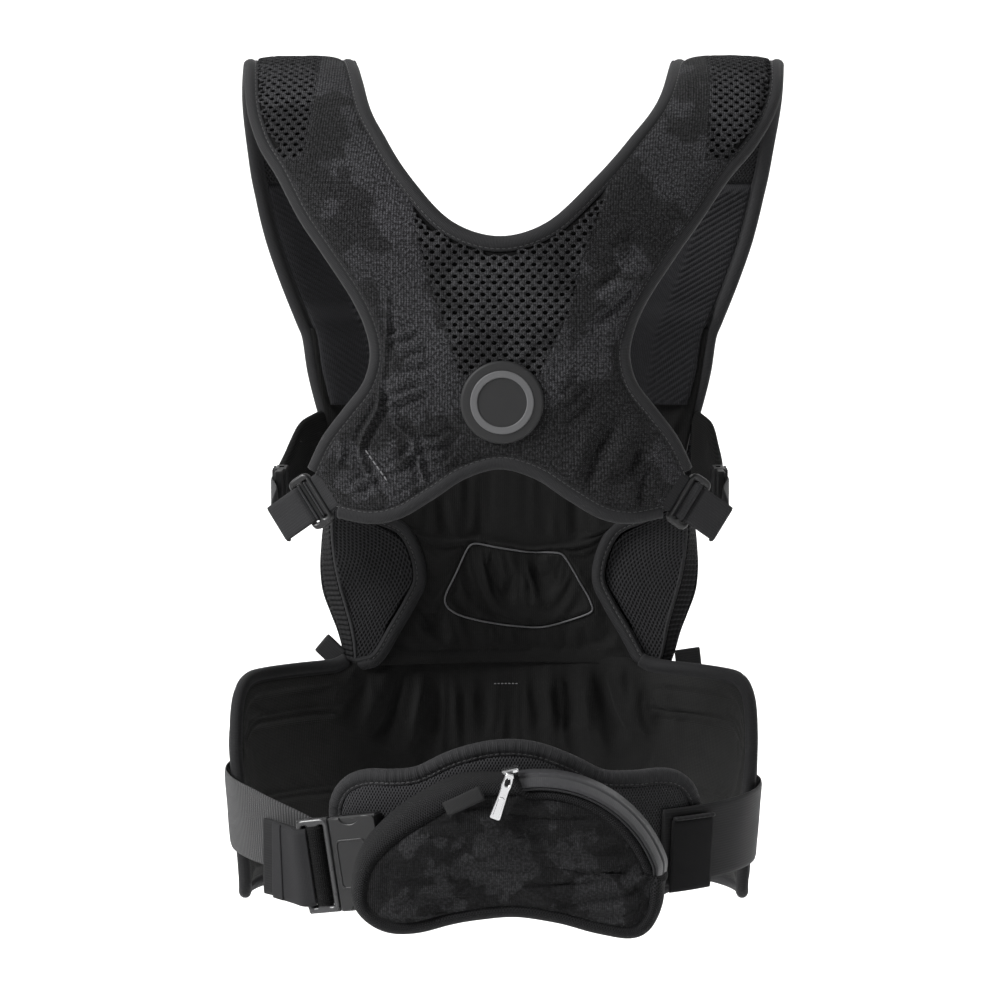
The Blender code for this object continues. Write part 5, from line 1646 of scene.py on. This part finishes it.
def make_waist_webbing():
    """Webbing behind the plug, its roll over the plug's middle bar, and its doubled tail."""
    rear = SLOT_IN - PLUG_BASE
    turn = np.array(WAIST_FRAME.to_3x3())
    across = turn[:, 1]
    stand = PLUG_BAR / 2 + WEB_T / 2 + WEB_CLEAR
    far = lay(waist, np.array([(math.radians(213), -0.0105)]), TAIL_OFFSET)[0]
    end, near = placed([(rear, 0, -stand), (rear - 0.008, 0, -stand)], WAIST_FRAME)
    path = spline([far, far * 0.4 + near * 0.6, near, end], 40)
    ways = line((0, 0, 1), across, 40)
    back = flat_band("waist_webbing_left", path, ways, 0.0475, WEBBING, "webbing", None,
                     ties=SAME_NAME)
    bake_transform(back)
    angle = np.linspace(-0.25 * math.pi, 1.25 * math.pi, 40)
    bar = np.stack([-0.0114 + 0.0050 * np.cos(angle), 0 * angle,
                    -0.0008 + 0.0052 * np.sin(angle)], 1)
    flat_band("waist_webbing_roll", placed(bar, WAIST_FRAME), np.repeat([across], 40, 0), 0.0490,
              ROLL, "webbing", "waist_plug", cols=20)
    end, near = placed([(rear + 0.0012, 0, stand - 0.0002), (rear - 0.006, 0, stand)], WAIST_FRAME)
    start = far + (end - far) * 0.26 + turn @ np.array((0, 0, 0.0030))
    path = spline([start, start * 0.4 + near * 0.6, near, end], 50)
    ways = line((0, 0, 1), across, 50)
    flat_band("waist_tail_left", path, ways, 0.0475, TAIL, "webbing", "waist_plug", thick=0.0026,
              ties=SAME_NAME)
    flat_band("waist_tail_turn", path[:14] + turn @ np.array((0, 0, 0.0018)), ways[:14],
              0.0470, TAIL, "webbing", "waist_plug", thick=0.0014)


def lock_matrix(sign):
    """Frame of the ladder lock on the yoke's lower corner: X points out along the webbing."""
    plan = np.array([(sign * 0.097, -0.1645), (sign * 0.1125, -0.140), (sign * 0.105, -0.152)])
    low, high, middle = drape(*plan.T)
    across = unit(high - low)
    outward = lay(drape, plan[2:], 0.01)[0] - middle
    along = unit(np.cross(across, outward))
    along = along * (1 if along[0] * sign > 0 else -1)
    return frame_matrix((low + high) / 2 + along * 0.0112, along, across)


def make_side(side, sign):
    """Ladder lock, side webbing and the side buckle with its prongs."""
    lock = lock_matrix(sign)
    frame_outline = rounded(-0.0064, 0.0086, -0.0172, 0.0172, 0.0042)
    slots = [rounded(-0.0042, -0.0006, -0.0131, 0.0131, 0.0012),
             rounded(0.0020, 0.0062, -0.0131, 0.0131, 0.0014)]
    moulding("ladder_lock_" + side + "_frame", [frame_outline] + [s[::-1] for s in slots], 0.0050,
             lock, YOKE, round_edge=0.0014)
    bevelled("ladder_lock_" + side, 0.0005)
    buckle = frame_matrix((sign * 0.1385, 0.0050, 0.2060), (0, 1, 0), (0, 0, 1))
    for part in ("_plug", "_socket", "_prong_upper", "_prong_lower"):
        bevelled("side_" + side + part, 0.0006, PLASTIC_MATT)
    raised_rim("side_" + side, buckle, 0.0155, 0.028, 0.0047 * sign, HARNESS)
    make_side_webbing(side, sign, lock, buckle)


def make_side_webbing(side, sign, lock, buckle):
    """Webbing out of the lock's outer slot, turned back sharply and run to the side buckle."""
    plug_stand = SIDE_BAR / 2 + WEB_T / 2 + WEB_CLEAR
    stand = sign * (LOCK_BAR / 2 + WEB_T / 2 + WEB_CLEAR)
    bar, near = placed([(SLOT_IN - SIDE_BASE, 0, sign * plug_stand),
                        (-SIDE_BASE - 0.003, 0, sign * plug_stand)], buckle)
    flap = placed([(0.0022, 0, -0.5 * stand), (0.0042, 0, 0.3 * stand), (0.0066, 0, 0.9 * stand),
                   (0.0120, 0, stand), (0.0200, 0, stand), (0.0260, 0, stand),
                   (0.0276, 0, stand - sign * 0.0016), (0.0268, 0, stand - sign * 0.0044)], lock)
    way = np.array(lock.to_3x3())[:, 1]
    path = spline([*flap, (sign * 0.1355, -0.058, 0.2020), (sign * 0.1400, -0.036, 0.2050),
                   near, bar], 150)
    share = step((arc(path) - 0.030) / 0.045)[:, None]
    flat_band("side_webbing_" + side, path, way * (1 - share) + share * (0, 0, 1), 0.024, SIDE_WEB,
              "webbing", YOKE, thick=0.0013, ties=SAME_NAME)
    angle = np.linspace(-0.35 * math.pi, 1.2 * math.pi, 30)
    roll = np.stack([0.0007 + 0.0026 * np.cos(angle), 0 * angle, 0.0036 * np.sin(angle)], 1)
    flat_band("side_webbing_roll_" + side, placed(roll, lock), np.repeat([way], 30, 0), 0.0248,
              SIDE_WEB, "webbing", YOKE, thick=0.0013)
    loop_run = placed(line((-0.0150, 0, 0), (-0.0022, 0, 0), 8), lock)
    flat_band("lock_loop_" + side, loop_run, np.repeat([way], 8, 0), 0.0250, SIDE_WEB, "webbing",
              YOKE, thick=0.0020)


# ================= pouch =================

RING_COUNT = 260
ZIP_COUNT = 160
ZIP_HALF = 0.0004         # half of the coated tape's thickness
GROOVE = 0.0085           # the face starts this far inside the pouch's outline
WALL_PROFILE = [(-0.1244, 0.0030), (-0.1262, 0.0004), (-0.1310, -0.0010), (-0.1400, -0.0010),
                (-0.1490, -0.0002), (-0.1545, 0.0010), (-0.1580, 0.0032), (-0.1592, 0.0054),
                (-0.1582, 0.0074), (-0.1560, GROOVE)]
PAD_AT = np.array((-0.045, 0.030))   # the gusset is thickest here
ZIP_PROFILE = [(-0.1244, 0.0030), (-0.1262, 0.0004), (-0.1310, -0.0006), (-0.1380, 0.0002),
               (-0.1440, 0.0022), (-0.1505, 0.0062), (-0.1560, 0.0082), (-0.1580, 0.0104),
               (-0.1576, 0.0122), (-0.1556, 0.0134)]


def pouch_outline():
    """Closed outline of the pouch, seen from the front: the zip's arc, then the free curve."""
    angle = np.linspace(ZIP_FROM, math.radians(10), 30)
    bow = ZIP_CENTRE + ZIP_R * pairs(np.cos(angle), np.sin(angle))
    ring = np.vstack([bow, spline([bow[-1]] + POUCH_POINTS + [bow[0]], 260)[1:-1]])
    ring = resample(np.vstack([ring, ring[:1]]), RING_COUNT + 1)[:-1]
    ring = softened(ring, 4, closed=True)
    along = tangents(ring, closed=True)
    return ring, pairs(along[:, 1], -along[:, 0])


def zip_share(ring):
    """1 along the zip's arc, 0 away from it."""
    away = ring - ZIP_CENTRE
    angle = np.degrees(np.arctan2(away[:, 1], away[:, 0]))
    near = np.exp(-((np.linalg.norm(away, axis=1) - ZIP_R) / 0.006) ** 2)
    return near * step((101 - angle) / 6) * step((angle - 6) / 14)


def thick_pad(ring):
    """How much further in the face is seamed, along the gusset's thick upper left."""
    return 0.0058 * np.exp(-(np.linalg.norm(ring - PAD_AT, axis=1) / 0.038) ** 2)


def wall_at(share, t):
    """Depth and inset of the gusset's section at t, from the back (0) to the groove (1)."""
    plain, zipped = (resample(spline(p, 80), 400) for p in (WALL_PROFILE, ZIP_PROFILE))
    at = t * 399
    low = np.minimum(at.astype(int), 398)
    pick = [p[low] + (p[low + 1] - p[low]) * (at - low)[:, None] for p in (plain, zipped)]
    return pick[0] * (1 - share) + pick[1] * share


def make_pouch():
    """Air-mesh wall of the pouch, then its panels and its zip."""
    ring, inward = pouch_outline()
    share = zip_share(ring)
    run = arc(ring)
    rows = 64
    t = np.linspace(0, 1, rows)
    section = np.stack([wall_at(s, t) for s in share], 1)
    soft = 0.0004 * ripple(run[None] + 0 * t[:, None], 0.02 * t[:, None] + 0 * run[None], 0.03, 2)
    inset = section[..., 1] + soft * np.sin(math.pi * t)[:, None]
    inset += thick_pad(ring)[None] * (t ** 2)[:, None]
    flat = ring[None] + inward[None] * inset[..., None]
    outer = np.stack([flat[..., 0], section[..., 0], flat[..., 1]], -1)
    inner = outer.copy()
    inner[..., [0, 2]] += inward[None] * 0.0014
    inner[-8:, :, 1] += 0.0012
    slant = arc(np.stack([section[:, 0, 0], section[:, 0, 1]], 1))
    uv = pairs(run[None], slant[:, None]).reshape(-1, 2)
    quads = grid_quads(rows, RING_COUNT, wrap=True)
    gusset = shell("pouch_gusset", outer.reshape(-1, 3), inner.reshape(-1, 3), quads, uv,
                   AIR_MESH_FINE, "air_mesh", HARNESS, ties=SAME_NAME)
    make_pouch_panels(ring, inward, share)
    make_zip()


def closing_rings(edge, middle, rows):
    """Rings of points that close in on a middle point, and their quads."""
    share = np.linspace(1, 0.02, rows)
    grid = middle + (edge[None] - middle) * share[:, None, None]
    return grid, share, grid_quads(rows, len(edge), wrap=True)


def make_pouch_panels(ring, inward, share):
    """Crowned knit face, seamed into the gusset's groove, and the plain back."""
    inset = GROOVE - 0.0006 + 0.0049 * share + thick_pad(ring)
    edge = ring + inward * inset[:, None]
    rows = 90
    grid, ratio, quads = closing_rings(edge, POUCH_MIDDLE, rows)
    plan = grid.reshape(-1, 2)
    away = np.repeat((1 - ratio) * 0.05, RING_COUNT)
    x, z = plan.T
    crown = 0.0042 * dome(away / 0.012) + 0.0022 * dome(away / 0.05)
    sway = 2.0 * np.sin(x * 45) + 1.3 * np.sin(x * 21)
    wrinkle = 0.0009 * np.sin(2 * math.pi * z / 0.0125 + sway)
    wrinkle += 0.0012 * ripple(0.35 * x, z, 0.018, 0.8)
    for height, tilt, depth in ((0.0290, 0.02, 0.0011), (0.0150, -0.05, 0.0012),
                                (0.0035, 0.06, 0.0010), (-0.0110, -0.04, 0.0009)):
        level = z - height - tilt * x - 0.0022 * np.sin(x * 48 + 90 * height)
        wrinkle -= (1.6 * depth * np.exp(-(level / 0.0022) ** 2)
                    * (0.6 + 0.4 * np.sin(x * 63 + height)))
    y = FACE_SEAM_Y - crown - wrinkle * step(away / 0.008)
    front = np.stack([x, y, z], 1)
    held = 1 - step(away / 0.004) * step((np.repeat(ratio, RING_COUNT) - 0.03) / 0.05)
    front = settle(front, quads, held, 0.02, 0.0020)
    back = np.stack([x, y + 0.0022, z], 1)
    hole = list(range((rows - 1) * RING_COUNT, rows * RING_COUNT))
    face = shell("pouch_face", front, back, quads, plan, KNIT_POUCH, "knit_face", HARNESS,
                 ties=SAME_NAME)
    close_middle(face, hole, len(front))
    edge = ring + inward * 0.0034
    grid, ratio, quads = closing_rings(edge, POUCH_MIDDLE, 12)
    plan = grid.reshape(-1, 2)
    y = POUCH_BACK_Y - 0.0002 - 0.0012 * (1 - np.repeat(ratio, RING_COUNT) ** 2)
    front = np.stack([plan[:, 0], y - 0.0006, plan[:, 1]], 1)
    back = np.stack([plan[:, 0], y + 0.0006, plan[:, 1]], 1)
    panel = shell("pouch_back", front, back, quads, plan, SMOOTH, "smooth_lining", HARNESS,
                  ties=SAME_NAME)
    close_middle(panel, list(range(11 * RING_COUNT, 12 * RING_COUNT)), len(front))


def close_middle(obj, hole, count):
    """Fills the small hole at the middle of both skins of a panel."""
    mesh = bmesh.new()
    mesh.from_mesh(obj.data)
    mesh.verts.ensure_lookup_table()
    bridge = [f for f in mesh.faces
              if {v.index % count for v in f.verts} <= set(hole) and len({v.index // count
                                                                         for v in f.verts}) == 2]
    bmesh.ops.delete(mesh, geom=bridge, context="FACES_ONLY")
    mesh.faces.new([mesh.verts[i] for i in hole])
    mesh.faces.new([mesh.verts[i + count] for i in reversed(hole)])
    bmesh.ops.recalc_face_normals(mesh, faces=mesh.faces)
    mesh.to_mesh(obj.data)
    mesh.free()
    obj.data.shade_smooth()


def make_zip():
    """Coated tape over the zip's coil, edge bead, slider, pull and blank tab."""
    angle = np.linspace(ZIP_FROM - 0.05, math.radians(8), ZIP_COUNT)
    sink = 0.0050 * step((math.radians(20) - angle) / math.radians(12))
    out = pairs(np.cos(angle), np.sin(angle))
    ways = [(-0.1385, 0.0012), (-0.1440, -0.0006), (-0.1472, -0.0016), (-0.1478, -0.0019),
            (-0.1484, -0.0022), (-0.1530, -0.0050), (-0.1556, -0.0066)]
    lift = 0.0011
    rows = []
    for y, radial in ways:
        point = ZIP_CENTRE + out * (ZIP_R + radial + lift - sink)[:, None]
        rows.append(np.stack([point[:, 0], np.full(ZIP_COUNT, y - 0.6 * lift), point[:, 1]], 1))
    grid = np.array(rows)
    grid[3] += (0, 0.0007, 0)
    run = arc(grid[0])
    deep = arc(grid[:, 0])
    uv = pairs(run[None], deep[:, None])
    soft_grid("zip_tape", grid, ZIP_HALF, ZIP_HALF, uv, 1, COATED, "coated_zip_tape", HARNESS,
              ties=SAME_NAME)
    bead = ZIP_CENTRE + out * (ZIP_R - 0.0066 - sink)[:, None]
    path = np.stack([bead[:, 0], np.full(ZIP_COUNT, -0.1568), bead[:, 1]], 1)
    up = np.repeat([[0.0, -1.0, 0.0]], ZIP_COUNT, 0)
    sweep("zip_edge", path, up, round_profile(0.0014, 0.0014, 8), BINDING, "coated_zip_tape",
          HARNESS)
    bevelled("zip_slider", 0.0005, METAL)
    make_pull()
    tab = frame_matrix((-0.0215, -0.1630, 0.0400), (0.90, 0, 0.42), (-0.42, 0, 0.90))
    run = np.linspace(-0.012, 0.012, 20)
    path = np.stack([run, 0 * run, -0.0004 + 0.0009 * np.cos(run / 0.012 * 1.3)], 1)
    flat_band("pouch_tab", placed(path, tab), np.repeat([np.array(tab.to_3x3())[:, 1]], 20, 0),
              0.0090, TAPE, "satin_tape", HARNESS, cols=8, thick=0.0009, ties=SAME_NAME)


def make_pull():
    """Cast zip pull: a flared bar with an oval hole, and a raised ridge on its face."""
    place = ZIP_CENTRE + (ZIP_R + 0.0052) * np.array((math.cos(ZIP_FROM), math.sin(ZIP_FROM)))
    base = frame_matrix((place[0] - 0.0004, -0.1672, place[1] - 0.0004), (-0.33, 0, -0.944),
                        (0.944, 0, -0.33))
    side = [(-0.0018, 0.0017), (-0.0010, 0.0023), (0.0015, 0.0026), (0.0060, 0.0030),
            (0.0085, 0.0026), (0.0120, 0.0026), (0.0255, 0.0033), (0.0266, 0.0030),
            (0.0270, 0.0022)]
    outline = [(x, -y) for x, y in side] + [(x, y) for x, y in reversed(side)]
    hole = [(0.0036 + 0.0026 * math.cos(a), 0.0016 * math.sin(a))
            for a in np.linspace(0, 2 * math.pi, 24, endpoint=False)]
    pull = moulding("zip_pull", [outline, hole[::-1]], 0.0018, base, "zip_pull", "zip_metal",
                    round_edge=0.0005, material=METAL)
    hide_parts("zip_pull")
    ridge = rounded(0.0130, 0.0255, -0.0018, 0.0018, 0.0012)
    over = base @ Matrix.Translation((0, 0, 0.0010))
    moulding("zip_pull_face", [ridge], 0.0008, over, "zip_pull", "zip_metal", round_edge=0.0003,
             material=METAL)


# ================= stage, light and camera =================

def make_stage():
    """Pale floor that curves up into a backdrop well behind the object."""
    profile = [(-6.0, 0.0), (1.6, 0.0)]
    profile += [(1.6 + 1.2 * math.sin(a), 1.2 * (1 - math.cos(a)))
                for a in np.linspace(0.1, math.pi / 2, 12)]
    profile += [(2.8, 6.0)]
    points = [(x, y, z + FLOOR_Z) for y, z in profile for x in (-7.0, 7.0)]
    quads = [[2 * i, 2 * i + 1, 2 * i + 3, 2 * i + 2] for i in range(len(profile) - 1)]
    mesh = bpy.data.meshes.new("studio_floor")
    mesh.from_pydata(points, [], quads)
    mesh.shade_smooth()
    p = Pattern("studio_floor", 0.9)
    grain = p.noise(30.0, 2.0, solid=True)
    mesh.materials.append(p.finish(p.blend(grain, (0.90, 0.90, 0.90), (0.93, 0.93, 0.93))))
    floor = bpy.data.objects.new("studio_floor", mesh)
    bpy.context.scene.collection.objects.link(floor)


def sun_light(name, source, strength, spread):
    """A soft light from far away; spread is its width in degrees."""
    light = bpy.data.lights.new(name, "SUN")
    light.angle = math.radians(spread)
    light.energy = strength
    obj = bpy.data.objects.new(name, light)
    obj.rotation_euler = Vector(source).to_track_quat("Z", "Y").to_euler()
    bpy.context.scene.collection.objects.link(obj)


def make_light_and_camera():
    """White room, one soft key from the left, one fill from behind, and the camera."""
    bpy.context.scene.view_settings.view_transform = "Standard"
    world = bpy.data.worlds.new("studio")
    world.use_nodes = True
    tree = world.node_tree
    room = tree.nodes["Background"]
    set_inputs(room, {"Color": (1.0, 1.0, 1.0, 1.0), "Strength": ROOM_LIGHT})
    wall = tree.nodes.new("ShaderNodeBackground")
    mixed = tree.nodes.new("ShaderNodeMixShader")
    tree.links.new(tree.nodes.new("ShaderNodeLightPath").outputs["Is Camera Ray"], mixed.inputs[0])
    tree.links.new(room.outputs[0], mixed.inputs[1])
    tree.links.new(wall.outputs[0], mixed.inputs[2])
    tree.links.new(mixed.outputs[0], tree.nodes["World Output"].inputs[0])
    set_inputs(wall, {"Color": (1.0, 1.0, 1.0, 1.0)})
    bpy.context.scene.world = world
    sun_light("key_left", (-1.15, -0.58, 1.00), KEY_LIGHT, 26)
    sun_light("fill_back", (0.9, 0.8, 1.1), BACK_LIGHT, 60)
    camera = bpy.data.cameras.new("camera")
    camera.sensor_width = 36.0
    camera.lens = 36.0 * CAMERA_FOCUS / 1000
    camera.clip_start = 0.05
    camera.clip_end = 60
    obj = bpy.data.objects.new("camera", camera)
    tilt = math.radians(CAMERA_TILT)
    middle = Vector((0, 0, CAMERA_HEIGHT))
    obj.location = middle + CAMERA_AWAY * Vector((0, -math.cos(tilt), math.sin(tilt)))
    obj.rotation_euler = (middle - obj.location).to_track_quat("-Z", "Y").to_euler()
    bpy.context.scene.collection.objects.link(obj)
    bpy.context.scene.camera = obj


# ================= build =================

make_yoke()
make_yoke_bindings()
make_yoke_thread()
make_badge()
make_lining()
make_shell()
for side_name, side_sign in SIDES:
    make_strap(side_name, side_sign)
    make_leg_side(side_name, side_sign)
    make_wing(side_name, side_sign)
    make_seat_tab(side_name, side_sign)
    make_side(side_name, side_sign)
make_front_neck_binding()
make_belt()
make_lumbar()
make_waist_straps()
make_waist_buckle()
make_pouch()
make_stage()
make_light_and_camera()
